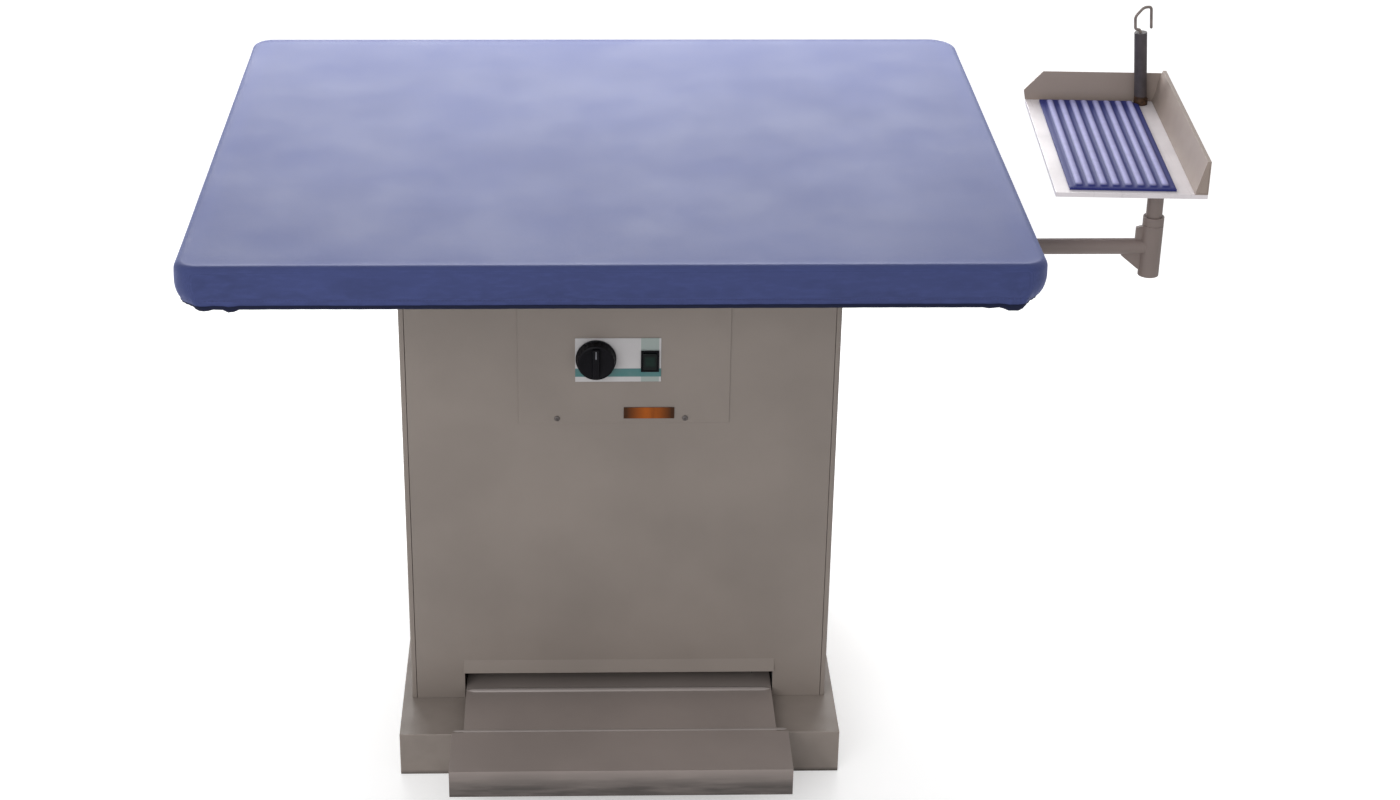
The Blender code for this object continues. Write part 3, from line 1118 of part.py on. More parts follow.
    inner = rectangle(outlet_x, outlet_z, outlet_width, FAN_HEIGHT)
    outer = rectangle(outlet_x, outlet_z, outlet_width + 2 * EXHAUST_SHEET, FAN_HEIGHT + 2 * EXHAUST_SHEET)
    prism("exhaust_duct", outer, axis_y + FAN_PLATE / 2 + GAP, cabinet_back, "Y", ZINC, holes=[inner])
    rear_face = cabinet_back + GAP + CABINET_SHEET
    slot_pitch = FAN_HEIGHT / GRILLE_SLOTS
    slots = [rectangle(outlet_x, fan_floor + (slot + 0.5) * slot_pitch, outlet_width,
                       slot_pitch * GRILLE_SLOT_SHARE)
             for slot in range(GRILLE_SLOTS)]
    prism("exhaust_grille",
          rectangle(outlet_x, outlet_z, outlet_width + 2 * GRILLE_MARGIN, FAN_HEIGHT + 2 * GRILLE_MARGIN),
          rear_face + GAP, rear_face + GAP + GRILLE_SHEET, "Y", TAUPE_DARK, holes=slots)

    gland_z = BASE_HEIGHT + GLAND_RISE
    gland = turned("cable_gland",
                   [(GLAND_THREAD / 2, GLAND_IN), (GLAND_THREAD / 2, -GAP), (GLAND_NUT / 2, -GAP),
                    (GLAND_NUT / 2, -GLAND_OUT / 2),
                    (GLAND_THREAD / 2, -GLAND_OUT), (GLAND_BORE / 2, -GLAND_OUT), (GLAND_BORE / 2, GLAND_IN)],
                   (GLAND_X, rear_face, gland_z), BLACK_PLASTIC, sides=SMALL_SIDES, axis="-Y")
    smooth(gland)

    wall = cabinet_half - CABINET_SHEET - GAP
    relay_low = shelf_top + (cabinet_top - shelf_top - RELAY_HEIGHT) * RELAY_RISE_SHARE
    block("relay_box", (-wall, axis_y - RELAY_DEPTH / 2, relay_low),
          (-wall + RELAY_WIDTH, axis_y + RELAY_DEPTH / 2, relay_low + RELAY_HEIGHT), GREY_PLASTIC)


def lever_outline(pin_y, pin_z):
    """A plate round the valve shaft and the lever's pin, in (y, z)."""
    away = math.atan2(pin_z - valve_middle, pin_y - axis_y)
    points = []
    for step in range(7):
        turn = away + math.pi / 2 + math.pi * step / 6
        points.append((axis_y + LEVER_BOSS * math.cos(turn), valve_middle + LEVER_BOSS * math.sin(turn)))
    for step in range(7):
        turn = away - math.pi / 2 + math.pi * step / 6
        points.append((pin_y + LEVER_TIP * math.cos(turn), pin_z + LEVER_TIP * math.sin(turn)))
    return points


def rest_carrier():
    """Socket under the top, sliding arm with its sleeve, and the post's collar."""
    socket_bore = arm_radius + RUNNING_GAP
    socket_radius = socket_bore + SOCKET_WALL
    socket_end = SOCKET_START + SOCKET_LENGTH
    socket = rod("rest_socket", (SOCKET_START, rest_y, arm_z), (socket_end, rest_y, arm_z), socket_radius,
                 TAUPE_DARK, sides=ROUND_SIDES)
    for foot_x in (SOCKET_START + SOCKET_FOOT_INSET, socket_end - SOCKET_FOOT_INSET - SOCKET_FOOT):
        join(socket,
             block("socket_foot", (foot_x, rest_y - socket_radius, arm_z),
                   (foot_x + SOCKET_FOOT, rest_y + socket_radius, box_bottom - GAP)))
    clamp_x = (SOCKET_START + socket_end) / 2
    thread_hole = rod("socket_thread", (clamp_x, rest_y, arm_z - socket_radius - OVERRUN),
                      (clamp_x, rest_y, arm_z), CLAMP_THREAD / 2 + RUNNING_GAP)
    cut(socket,
        rod("socket_bore", (SOCKET_START - OVERRUN, rest_y, arm_z), (socket_end + OVERRUN, rest_y, arm_z),
            socket_bore, sides=ROUND_SIDES), thread_hole)
    clamp_knob("socket_clamp_knob", (clamp_x, rest_y, arm_z - arm_radius - GAP), (0, 0, -1),
               SOCKET_WALL + CLAMP_STAND, BLACK_PLASTIC)

    arm_start = socket_end - ARM_IN_SOCKET
    arm = rod("rest_arm", (arm_start, rest_y, arm_z), (REST_X, rest_y, arm_z), arm_radius, TAUPE_PAINT,
              sides=ROUND_SIDES)
    arm_bore = rod("arm_bore", (arm_start - OVERRUN, rest_y, arm_z),
                   (REST_X - sleeve_radius - OVERRUN, rest_y, arm_z), arm_radius - ARM_WALL)
    sleeve = rod("rest_sleeve", (REST_X, rest_y, sleeve_bottom), (REST_X, rest_y, sleeve_top), sleeve_radius,
                 sides=ROUND_SIDES)
    half = GUSSET_THICKNESS / 2
    inner = REST_X - sleeve_bore - SLEEVE_WALL / 2
    upper = prism("gusset_upper",
                  [(inner, arm_z), (inner, sleeve_top - OVERRUN),
                   (REST_X - sleeve_radius, sleeve_top - OVERRUN),
                   (REST_X - GUSSET_UPPER, sleeve_top - 2 * OVERRUN), (REST_X - GUSSET_UPPER, arm_z)],
                  rest_y - half, rest_y + half, "Y")
    lower = prism("gusset_lower",
                  [(inner, arm_z), (REST_X - GUSSET_REACH, arm_z),
                   (REST_X - GUSSET_REACH, arm_z - arm_radius - OVERRUN),
                   (REST_X - sleeve_radius - OVERRUN, arm_z - arm_radius * GUSSET_DEPTH_SHARE),
                   (inner, arm_z - arm_radius * GUSSET_DEPTH_SHARE)],
                  rest_y - half, rest_y + half, "Y")
    join(arm, sleeve, upper, lower)
    clamp_z = (arm_z - arm_radius + sleeve_bottom) / 2
    sleeve_thread = rod("sleeve_thread", (REST_X, rest_y, clamp_z),
                        (REST_X, rest_y + sleeve_radius + OVERRUN, clamp_z), CLAMP_THREAD / 2 + RUNNING_GAP)
    cut(arm, arm_bore,
        rod("sleeve_bore", (REST_X, rest_y, sleeve_bottom - OVERRUN), (REST_X, rest_y, sleeve_top + OVERRUN),
            sleeve_bore, sides=ROUND_SIDES), sleeve_thread)
    clamp_knob("sleeve_clamp_knob", (REST_X, rest_y + post_radius + GAP, clamp_z), (0, 1, 0),
               SLEEVE_WALL + CLAMP_STAND, BLACK_PLASTIC)

    collar_top = collar_bottom + COLLAR_HEIGHT
    smooth(turned("rest_collar", [(sleeve_radius, collar_top), (sleeve_radius, collar_bottom),
                                  (sleeve_bore, collar_bottom), (sleeve_bore, collar_top)],
                  (REST_X, rest_y, 0), TAUPE_DARK))


def rest_tray():
    """Post, tray, guard walls, mat and cord holder, about an empty on the post's axis."""
    turn = bpy.data.objects.new("rest_swivel_axis", None)
    parts.objects.link(turn)
    turn.location = (REST_X, rest_y, 0)
    turn.rotation_euler = (0, 0, math.radians(TRAY_TURN_DEG))

    flange_top = tray_bottom - GAP
    flange_low = flange_top - POST_FLANGE_THICKNESS
    post_low = sleeve_bottom - POST_BELOW
    hollow = post_radius - POST_WALL
    smooth(turned("rest_post",
                  [(0, flange_top), (POST_FLANGE / 2, flange_top), (POST_FLANGE / 2, flange_low),
                   (post_radius, flange_low),
                   (post_radius, post_low), (hollow, post_low), (hollow, flange_low), (0, flange_low)],
                  (0, 0, 0), TAUPE_PAINT, turn))

    floor = block("rest_tray", (-TRAY_LEFT, -TRAY_FRONT, tray_bottom), (TRAY_RIGHT, TRAY_REAR, tray_top),
                  WHITE_PAINT, turn)
    front_edge = block("tray_front_edge", (-TRAY_LEFT, -TRAY_FRONT, tray_top - TRAY_EDGE),
                       (TRAY_RIGHT, -TRAY_FRONT + TRAY_SHEET, tray_top - TRAY_SHEET / 2), parent=turn)
    left_edge = block("tray_left_edge", (-TRAY_LEFT, -TRAY_FRONT + TRAY_SHEET / 2, tray_top - TRAY_EDGE),
                      (-TRAY_LEFT + TRAY_SHEET, TRAY_REAR, tray_top - TRAY_SHEET / 2), parent=turn)
    join(floor, front_edge, left_edge)

    guard_low = tray_top + GAP
    guard_top = guard_low + GUARD_HEIGHT
    side_top = guard_low + GUARD_SIDE_HEIGHT
    outer = TRAY_RIGHT
    foot = outer - GUARD_SIDE_WIDTH
    wall = GUARD_SIDE_WALL
    section = [(foot, guard_low), (outer, guard_low), (outer, side_top), (outer - GUARD_SIDE_TOP, side_top)]
    hollow = [(foot + 3 * wall, guard_low + wall), (outer - wall, guard_low + wall),
              (outer - wall, side_top - 4 * wall)]
    side = prism("rest_guard", section, -TRAY_FRONT, TRAY_REAR, "Y", TAUPE_PAINT, turn, holes=[hollow])
    thick = TRAY_SHEET
    back_y = TRAY_REAR - thick
    back_path = [(back_y, guard_low), (back_y, guard_low + GUARD_FOLD), (back_y + GUARD_LEAN, guard_top)]
    back = folded("guard_back", back_path, -thick, -TRAY_LEFT - GUARD_OVERHANG, outer, "X", parent=turn)
    front_view = [(-TRAY_LEFT, guard_low - OVERRUN), (outer - wall, guard_low - OVERRUN),
                  (outer - wall, guard_top + OVERRUN),
                  (-TRAY_LEFT + GUARD_END_CUT, guard_top + OVERRUN),
                  (-TRAY_LEFT - GUARD_OVERHANG, guard_low + GUARD_FOLD)]
    shape = prism("guard_outline", front_view, back_y - OVERRUN, TRAY_REAR + GUARD_LEAN + OVERRUN, "Y",
                  parent=turn)
    combine(back, [shape], "INTERSECT")
    join(side, back)

    mat_left = MAT_RIGHT - MAT_WIDTH
    mat_low = tray_top + GAP
    mat_middle = mat_low + MAT_THICKNESS
    rib_pitch = MAT_WIDTH / MAT_RIBS
    profile = [(mat_left, mat_low), (MAT_RIGHT, mat_low)]
    for rib in reversed(range(MAT_RIBS)):
        centre = mat_left + (rib + 0.5) * rib_pitch
        half = rib_pitch * MAT_RIB_SHARE / 2
        profile += [(centre + half * MAT_RIB_FOOT_SHARE, mat_middle),
                    (centre + half, mat_middle + MAT_RIB_HEIGHT),
                    (centre - half, mat_middle + MAT_RIB_HEIGHT),
                    (centre - half * MAT_RIB_FOOT_SHARE, mat_middle)]
    profile.insert(2, (MAT_RIGHT, mat_middle))
    profile.append((mat_left, mat_middle))
    mat_front = -TRAY_FRONT + MAT_FRONT_MARGIN
    mat = prism("rest_mat", profile, mat_front, mat_front + MAT_DEPTH, "Y", BLUE_SILICONE, turn)

    lean = bpy.data.objects.new("holder_axis", None)
    parts.objects.link(lean)
    lean.parent = turn
    lean.location = (HOLDER_X, back_y - HOLDER_NUT / 2 - GAP, holder_foot)
    lean.rotation_euler = (0, math.radians(HOLDER_LEAN_DEG), 0)
    radius = HOLDER_DIAMETER / 2
    column = rod("holder_column", (0, 0, HOLDER_NUT_HEIGHT / 2), (0, 0, HOLDER_HEIGHT), radius, BLACK_PLASTIC,
                 lean)
    nut = rod("holder_nut", (HOLDER_X, lean.location.y, holder_foot),
              (HOLDER_X, lean.location.y, holder_foot + HOLDER_NUT_HEIGHT), HOLDER_NUT / 2, parent=turn)
    cut(mat,
        rod("holder_notch", (HOLDER_X, lean.location.y, mat_low - OVERRUN),
            (HOLDER_X, lean.location.y, mat_middle + 2 * MAT_RIB_HEIGHT),
            HOLDER_NUT / 2 + MAT_NOTCH_GAP, parent=turn))
    bore_low = HOLDER_HEIGHT - HOLDER_BORE_DEPTH
    join(column, nut)
    cut(column,
        rod("holder_bore", (0, 0, bore_low), (0, 0, HOLDER_HEIGHT + OVERRUN), LOOP_WIRE / 2 + RUNNING_GAP,
            parent=lean))
    wire = LOOP_WIRE / 2
    low = HOLDER_HEIGHT + GAP + LOOP_WIRE
    crown = HOLDER_HEIGHT + LOOP_HEIGHT
    shoulder = HOLDER_HEIGHT + LOOP_HEIGHT * LOOP_SIDE_SHARE
    route = [(0, bore_low + GAP), (0, HOLDER_HEIGHT), (-wire, low), (-LOOP_LEFT + wire, low),
             (-LOOP_LEFT, low + wire), (-LOOP_LEFT, shoulder),
             (-LOOP_LEFT + wire, shoulder + LOOP_WIRE), (LOOP_RIGHT - 3 * LOOP_WIRE, crown - wire),
             (LOOP_RIGHT - 2 * LOOP_WIRE, crown),
             (LOOP_RIGHT - wire, crown), (LOOP_RIGHT, crown - wire), (LOOP_RIGHT, low)]
    tube("holder_loop", [(across, 0, up) for across, up in route], LOOP_WIRE, STEEL, lean)


air_hole_x = tabletop()
capillary(air_hole_x)
base()
controls(cabinet())
pedal()
air_path()
rest_carrier()
rest_tray()
bpy.context.view_layer.update()
for part in parts.objects:
    if part.type != "EMPTY":
        print(part.name, [round(value, 4) for value in part.matrix_world.translation])
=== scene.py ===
"""Looks of a vacuum ironing table: its cloth, paint, plastics and metals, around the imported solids.

Metres, in the part's own frame, +Z up. The user stands on the -Y side.
"""
import json
import math
from collections import namedtuple

import bmesh
import bpy
from mathutils import Matrix, Vector, noise


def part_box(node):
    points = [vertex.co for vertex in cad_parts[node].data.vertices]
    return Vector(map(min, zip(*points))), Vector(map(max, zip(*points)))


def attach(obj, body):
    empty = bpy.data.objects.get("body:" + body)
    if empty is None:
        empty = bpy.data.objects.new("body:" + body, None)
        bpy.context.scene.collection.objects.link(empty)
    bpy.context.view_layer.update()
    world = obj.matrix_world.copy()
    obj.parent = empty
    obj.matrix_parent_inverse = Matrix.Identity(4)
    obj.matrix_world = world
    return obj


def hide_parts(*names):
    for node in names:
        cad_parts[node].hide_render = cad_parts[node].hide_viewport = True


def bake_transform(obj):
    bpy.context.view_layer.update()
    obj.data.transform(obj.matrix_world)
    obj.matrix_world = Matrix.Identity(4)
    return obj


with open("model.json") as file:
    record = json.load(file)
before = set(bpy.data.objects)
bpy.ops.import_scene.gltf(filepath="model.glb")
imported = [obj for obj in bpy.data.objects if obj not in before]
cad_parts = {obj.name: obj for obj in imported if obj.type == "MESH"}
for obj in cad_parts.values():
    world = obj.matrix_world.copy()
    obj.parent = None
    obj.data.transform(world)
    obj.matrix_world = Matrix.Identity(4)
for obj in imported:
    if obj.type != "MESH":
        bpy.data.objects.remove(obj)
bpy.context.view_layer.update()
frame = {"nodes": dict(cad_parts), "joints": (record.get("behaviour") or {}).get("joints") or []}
nodes = frame["nodes"]

# Camera: the lens and place from which the photograph was taken
LENS_MM = 63.44
SENSOR_MM = 36.0
CAMERA_PLACE = (-0.0563, -3.2639, 2.0884)
CAMERA_YAW = -0.0266
CAMERA_TILT = 0.4453
CAMERA_ROLL = -0.0078
PHOTO_WIDTH = 1400
PHOTO_HEIGHT = 800
PHOTO_AXIS_X = 638.4653      # where the lens axis meets the photograph, in its pixels
PHOTO_AXIS_Y = 348.9683

WELD = 0.00001
GAP = 0.0003                 # clearance between neighbouring pieces
FLAT_ANGLE = 0.5             # degrees: faces that meet under this are one
EDGE_ANGLE = 35              # degrees: edges over this are rounded
SHARP_ANGLE = 46             # degrees: edges over this stay sharp
WORN_SPREAD = 1.2            # a face narrower than this many edge widths is a rounded edge's

# Colours, as sRGB values from 0 to 255
TAUPE = (141, 131, 124)
# the cabinet's taupe made paler: painted light on the tray's guard
TAUPE_LIT = (157, 142, 133)
TAUPE_DEEP = (130, 117, 112)
# the pedal's taupe, lightened as painted light against the table's shade over it
PEDAL_TAUPE_LIT = (152, 141, 136)
# paler taupe on the pedal's beads: painted highlight where they catch the light
BEAD_HIGHLIGHT_TAUPE = (158, 149, 145)
CLOTH_BLUE = (64, 73, 121)
SHEEN_BLUE = (190, 198, 240)
THREAD_BLUE = (44, 50, 92)
# dark navy band at the hem: painted shade where the cloth rolls under
HEM_SHADE_NAVY = (22, 26, 50)
FOAM_CREAM = (226, 220, 200)
ZINC_GREY = (186, 188, 190)
STEEL_GREY = (196, 194, 190)
SCREW_GREY = (92, 86, 84)
HEATER_BROWN = (120, 104, 92)
COPPER_RED = (206, 132, 96)
CAST_GREY = (176, 177, 180)
PLASTIC_BLACK = (17, 16, 20)
# the column's black, lightened all over as painted highlight
COLUMN_BLACK_LIT = (84, 78, 80)
RUBBER_BLACK = (32, 31, 31)
SWITCH_GREEN = (10, 16, 15)
WINDOW_GREEN = (20, 42, 36)
NUT_BROWN = (66, 46, 30)
GREY_MOULDED = (150, 150, 148)
LABEL_PALE = (194, 191, 192)
LABEL_FIELD = (138, 156, 150)
LABEL_TEAL = (62, 116, 116)
BADGE_ORANGE = (166, 84, 20)
BADGE_BROWN = (62, 33, 9)
ENAMEL_WHITE = (236, 229, 232)
# pale rib tops of the mat: painted highlight
SILICONE_HIGHLIGHT = (170, 169, 217)
SILICONE_NAVY = (36, 42, 112)
POINTER_GREY = (104, 103, 110)
WIRE_TAUPE = (134, 122, 116)

# Finishes
DUST_AND_LIGHT_HEIGHT = 0.16           # dust and painted light thin out up to here
BASE_FOOT_SHADE = (0.0075, 0.0015)          # painted shade starts at the first height and is full at the second
PEDAL_LIP_SHADE = (0.0842, 0.0560)
PRINT_SOFT = 0.0006
BLACK_GLOSS = 0.09


def linear(colour):
    """An sRGB colour as linear values with alpha."""
    values = [part / 255 for part in colour]
    return (*[part / 12.92 if part <= 0.04045 else ((part + 0.055) / 1.055) ** 2.4 for part in values], 1)


def shade(colour, factor):
    """A colour made darker or brighter."""
    return tuple(min(255, max(0, part * factor)) for part in colour)


def join(tree, socket, value):
    """Links an output to a socket, or sets the socket to a value."""
    if isinstance(value, bpy.types.NodeSocket):
        tree.links.new(value, socket)
    else:
        socket.default_value = value


def add_node(tree, kind, output, inputs=None, **settings):
    """Adds a node with its settings and inputs, and gives back one of its outputs."""
    made = tree.nodes.new(kind)
    for key, value in settings.items():
        setattr(made, key, value)
    for key, value in (inputs or {}).items():
        join(tree, made.inputs[key], value)
    return made.outputs[output]


class Surface:
    """A material under construction: a Principled shader with helpers that add nodes to it."""

    def __init__(self, name, colour, roughness, metallic=0.0):
        self.material = bpy.data.materials.new(name)
        self.material.use_nodes = True
        self.tree = self.material.node_tree
        self.shader = self.tree.nodes["Principled BSDF"]
        self.set(Base_Color=linear(colour), Roughness=roughness, Metallic=metallic)
        self.place = self.node("ShaderNodeTexCoord", "Object")
        self.normal = None

    def node(self, kind, output, inputs=None, **settings):
        return add_node(self.tree, kind, output, inputs, **settings)

    def set(self, **values):
        """Sets or links the shader's own sockets; an underscore stands for a space."""
        for key, value in values.items():
            join(self.tree, self.shader.inputs[key.replace("_", " ")], value)
        return self

    def noise(self, scale, detail=4, stretch=None):
        """Noise over the object's coordinates, which can be stretched by an amount on each axis."""
        place = self.place
        if stretch:
            place = self.node("ShaderNodeMapping", "Vector", {"Vector": place, "Scale": stretch})
        return self.node("ShaderNodeTexNoise", "Fac", {"Vector": place, "Scale": scale, "Detail": detail})

    def cells(self, scale, output):
        return self.node("ShaderNodeTexVoronoi", output, {"Vector": self.place, "Scale": scale})

    def bands(self, scale, direction):
        return self.node("ShaderNodeTexWave", "Fac", {"Vector": self.place, "Scale": scale},
                         bands_direction=direction)

    def axis(self, name):
        """One of the object's coordinates."""
        return self.node("ShaderNodeSeparateXYZ", name, {"Vector": self.place})

    def level(self, value, low, high, start=0.0, end=1.0):
        """Maps a value from one range to another, clamped."""
        return self.node("ShaderNodeMapRange", "Result", {
            "Value": value, "From Min": low, "From Max": high, "To Min": start, "To Max": end})

    def cloud(self, scale, detail=4, low=0.35, high=0.65, start=0.0, end=1.0, stretch=None):
        """Noise between two of its levels, mapped to a range."""
        return self.level(self.noise(scale, detail, stretch), low, high, start, end)

    def math(self, operation, first, second):
        return self.node("ShaderNodeMath", "Value", {0: first, 1: second}, operation=operation)

    def times(self, first, second):
        return self.math("MULTIPLY", first, second)

    def away(self, axis, middle):
        """The distance from a place on an axis."""
        return self.math("ABSOLUTE", self.math("SUBTRACT", self.axis(axis), middle), 0)

    def within(self, axis, low, high):
        """1 between two places on an axis, with soft edges."""
        return self.times(self.level(self.axis(axis), low, low + PRINT_SOFT),
                          self.level(self.axis(axis), high, high - PRINT_SOFT))

    def mixed(self, share, first, second):
        """A colour between two, each an sRGB colour or a socket."""
        first, second = [linear(tone) if isinstance(tone, tuple) else tone for tone in (first, second)]
        return self.node("ShaderNodeMix", 2, {"Factor": share, 6: first, 7: second}, data_type="RGBA")

    def mottled(self, share, colour, dark, bright):
        """A colour between a darker and a brighter shade of one."""
        return self.mixed(share, shade(colour, dark), shade(colour, bright))

    def bump(self, height, depth, strength):
        """Adds a relief, with its depth in metres."""
        inputs = {"Distance": depth, "Strength": strength, "Height": height}
        if self.normal:
            inputs["Normal"] = self.normal
        self.normal = self.node("ShaderNodeBump", "Normal", inputs)
        return self.set(Normal=self.normal)

    def grain(self, scale, depth, strength, detail=2):
        """Adds a relief of noise."""
        return self.bump(self.noise(scale, detail), depth, strength)


WEAR = "worn"                # the faces on a piece's rounded edges carry this value


def powder_coat(name, colour, roughness=0.46, dust_and_painted_light=0.0, foot_shade=None):
    """Satin powder coat: fine orange peel, faint clouding, rubbed edges, dust and painted light low down, and
    painted shade between two heights at its foot."""
    surface = Surface(name, colour, roughness)
    tone = surface.mottled(surface.cloud(5.0), colour, 0.965, 1.03)
    tone = surface.mixed(surface.times(surface.cloud(900.0, 2, 0.62, 0.78), 0.25), tone, shade(colour, 0.86))
    # dust with painted light: paler patches low down, which also stand in for light on the base's top and
    # front
    if dust_and_painted_light:
        low = surface.level(surface.axis("Z"), DUST_AND_LIGHT_HEIGHT, 0.0, 0.0, dust_and_painted_light)
        dust_and_light_share = surface.times(low, surface.cloud(22.0, 5, 0.40, 0.62))
        tone = surface.mixed(dust_and_light_share, tone, shade(colour, 1.10))
    # painted shade: darker streaks towards the foot, between two heights, for the shadow at the base's foot
    # and on the pedal's lip
    if foot_shade:
        foot = surface.level(surface.axis("Z"), *foot_shade, 0.0, 0.85)
        shade_streaks = surface.cloud(1.0, 4, 0.25, 0.60, 0.55, 1.0, (14.0, 60.0, 120.0))
        tone = surface.mixed(surface.times(foot, shade_streaks), tone, shade(colour, 0.42))
    worn = surface.node("ShaderNodeAttribute", "Fac", attribute_name=WEAR)
    rubbed = surface.times(worn, surface.cloud(60.0, start=0.15, end=0.65))
    surface.set(Base_Color=surface.mixed(rubbed, tone, shade(colour, 1.20)),
                Roughness=surface.cloud(34.0, 4, 0.3, 0.7, roughness - 0.05, roughness + 0.06))
    return surface.grain(520.0, 0.00006, 0.55).grain(26.0, 0.0004, 0.12).material


def zinc_sheet(name):
    """Galvanised sheet, with its spangle."""
    surface = Surface(name, ZINC_GREY, 0.42, 1.0)
    value = surface.node("ShaderNodeSeparateColor", "Red", {"Color": surface.cells(95.0, "Color")})
    surface.set(Base_Color=surface.mottled(value, ZINC_GREY, 0.84, 1.06),
                Roughness=surface.level(value, 0.0, 1.0, 0.34, 0.52))
    return surface.grain(300.0, 0.00004, 0.4, 3).material


def brushed(name, colour, roughness, stretch=(900.0, 30.0, 900.0)):
    """Bright metal with fine drawn lines along Y, or along another axis."""
    surface = Surface(name, colour, roughness, 1.0)
    lines = surface.noise(1.0, 3, stretch)
    surface.set(Base_Color=surface.mottled(surface.level(lines, 0.3, 0.7), colour, 0.92, 1.04),
                Roughness=surface.level(lines, 0.25, 0.75, roughness - 0.07, roughness + 0.10))
    return surface.bump(lines, 0.00003, 0.5).material


def cast_metal(name, colour):
    """Sand or die cast metal, with a soft grain."""
    surface = Surface(name, colour, 0.5, 1.0)
    grain = surface.noise(650.0)
    surface.set(Base_Color=surface.mottled(surface.cloud(30.0), colour, 0.88, 1.04),
                Roughness=surface.level(grain, 0.3, 0.7, 0.42, 0.60))
    return surface.bump(grain, 0.00012, 0.6).material


def moulded(name, colour, roughness, grain=0.00004, gloss=0.5):
    """Moulded plastic with a fine grain."""
    surface = Surface(name, colour, roughness)
    fine = surface.noise(1500.0, 2)
    surface.set(Base_Color=surface.mottled(surface.cloud(60.0), colour, 0.88, 1.12),
                Roughness=surface.level(fine, 0.3, 0.7, roughness - 0.04, roughness + 0.06),
                Specular_IOR_Level=gloss)
    return surface.bump(fine, grain, 0.5).material


def rubber(name, colour):
    surface = Surface(name, colour, 0.78)
    surface.set(Base_Color=surface.mottled(surface.cloud(80.0, 4, 0.4), colour, 1.0, 1.5))
    return surface.grain(1100.0, 0.00005, 0.6).material


def woven_cloth(name, colour, sheen):
    """Plain weave ironing cloth: crossed threads, slubs, and slow mottling where irons have passed."""
    surface = Surface(name, colour, 0.6)
    warp, weft, fill = [surface.bands(420.0, direction) for direction in "XYZ"]
    weave = surface.math("ADD", surface.times(warp, weft), surface.times(fill, 0.35))
    cloud = surface.cloud(7.0, 5)
    tone = surface.mottled(cloud, colour, 0.97, 1.03)
    slub = surface.cloud(1.0, 3, 0.45, 0.75, 0.0, 0.35, (60.0, 700.0, 200.0))
    tone = surface.mixed(slub, tone, shade(colour, 1.18))
    tone = surface.mixed(surface.level(weave, 0.0, 0.6, 0.45, 0.0), tone, shade(colour, 0.72))
    surface.set(Base_Color=tone, Roughness=surface.level(cloud, 0.0, 1.0, 0.56, 0.64), Sheen_Weight=sheen,
                Sheen_Roughness=0.5, Sheen_Tint=linear(SHEEN_BLUE), Specular_IOR_Level=0.3,
                Specular_Tint=linear(SHEEN_BLUE))
    return surface.bump(weave, 0.00010, 0.6).grain(55.0, 0.0008, 0.06, 3).material


def sewing_thread(name, colour):
    surface = Surface(name, colour, 0.7)
    twist = surface.noise(1.0, 2, (1800.0, 1800.0, 2600.0))
    surface.set(Base_Color=surface.mottled(surface.level(twist, 0.3, 0.7), colour, 0.8, 1.3))
    return surface.bump(twist, 0.0001, 0.6).material


def open_foam(name, colour):
    surface = Surface(name, colour, 0.95)
    cells = surface.cells(900.0, "Distance")
    surface.set(Base_Color=surface.mottled(surface.level(cells, 0.0, 0.5), colour, 0.72, 1.0))
    return surface.bump(cells, 0.0004, 0.7).material


def enamel(name, colour):
    """White satin enamel of the iron's tray, with faint rubbing where the iron is set down."""
    surface = Surface(name, colour, 0.36)
    cloud = surface.cloud(18.0, 5, 0.35, 0.68)
    tone = surface.mottled(cloud, colour, 1.0, 0.95)
    scuff = surface.cloud(1.0, 4, 0.62, 0.72, 0.0, 0.35, (240.0, 12.0, 60.0))
    surface.set(Base_Color=surface.mixed(scuff, tone, shade(colour, 0.84)),
                Roughness=surface.level(cloud, 0.0, 1.0, 0.30, 0.44))
    return surface.grain(480.0, 0.00005, 0.5).material


def ribbed_silicone(name, low, high):
    """Navy silicone with painted highlight on the rib tops, by the height above the mat's foot."""
    surface = Surface(name, SILICONE_NAVY, 0.6)
    # painted highlight: rib tops paler than the grooves
    rib_highlight = surface.times(surface.level(surface.axis("Z"), low, high),
                            surface.cloud(90.0, 4, 0.30, 0.60, 0.86, 1.0))
    surface.set(Base_Color=surface.mixed(rib_highlight, SILICONE_NAVY, SILICONE_HIGHLIGHT), Specular_IOR_Level=0.3)
    return surface.grain(900.0, 0.00003, 0.4).material


def column_finish(name, foot):
    """Black rubber sleeve over a browned nut, which ends at a height."""
    surface = Surface(name, COLUMN_BLACK_LIT, 0.5)
    nut = surface.level(surface.axis("Z"), foot + PRINT_SOFT, foot)
    stain = surface.mottled(surface.cloud(220.0), NUT_BROWN, 0.7, 1.3)
    # the sleeve's black is lightened as painted highlight
    tone = surface.mottled(surface.cloud(60.0), COLUMN_BLACK_LIT, 0.85, 1.0)
    surface.set(Base_Color=surface.mixed(nut, tone, stain), Specular_IOR_Level=0.35)
    return surface.grain(700.0, 0.00004, 0.5).material


def printed_label(name, switch_low, switch_high):
    """Pale plate with a teal band along its foot and a greyer field round the switch."""
    surface = Surface(name, LABEL_PALE, 0.38)
    field = surface.times(surface.within("X", switch_low, switch_high), 0.75)
    tone = surface.mixed(field, LABEL_PALE, LABEL_FIELD)
    band = surface.within("Z", LABEL_BAND_LOW - PRINT_SOFT, LABEL_BAND_HIGH)
    tone = surface.mixed(band, tone, LABEL_TEAL)
    worn = surface.cloud(60.0, 4, 0.3, 0.7, 0.0, 0.12)
    surface.set(Base_Color=surface.mixed(worn, tone, shade(LABEL_PALE, 0.8)), Coat_Weight=0.15,
                Coat_Roughness=0.3)
    return surface.grain(700.0, 0.00003, 0.4).material


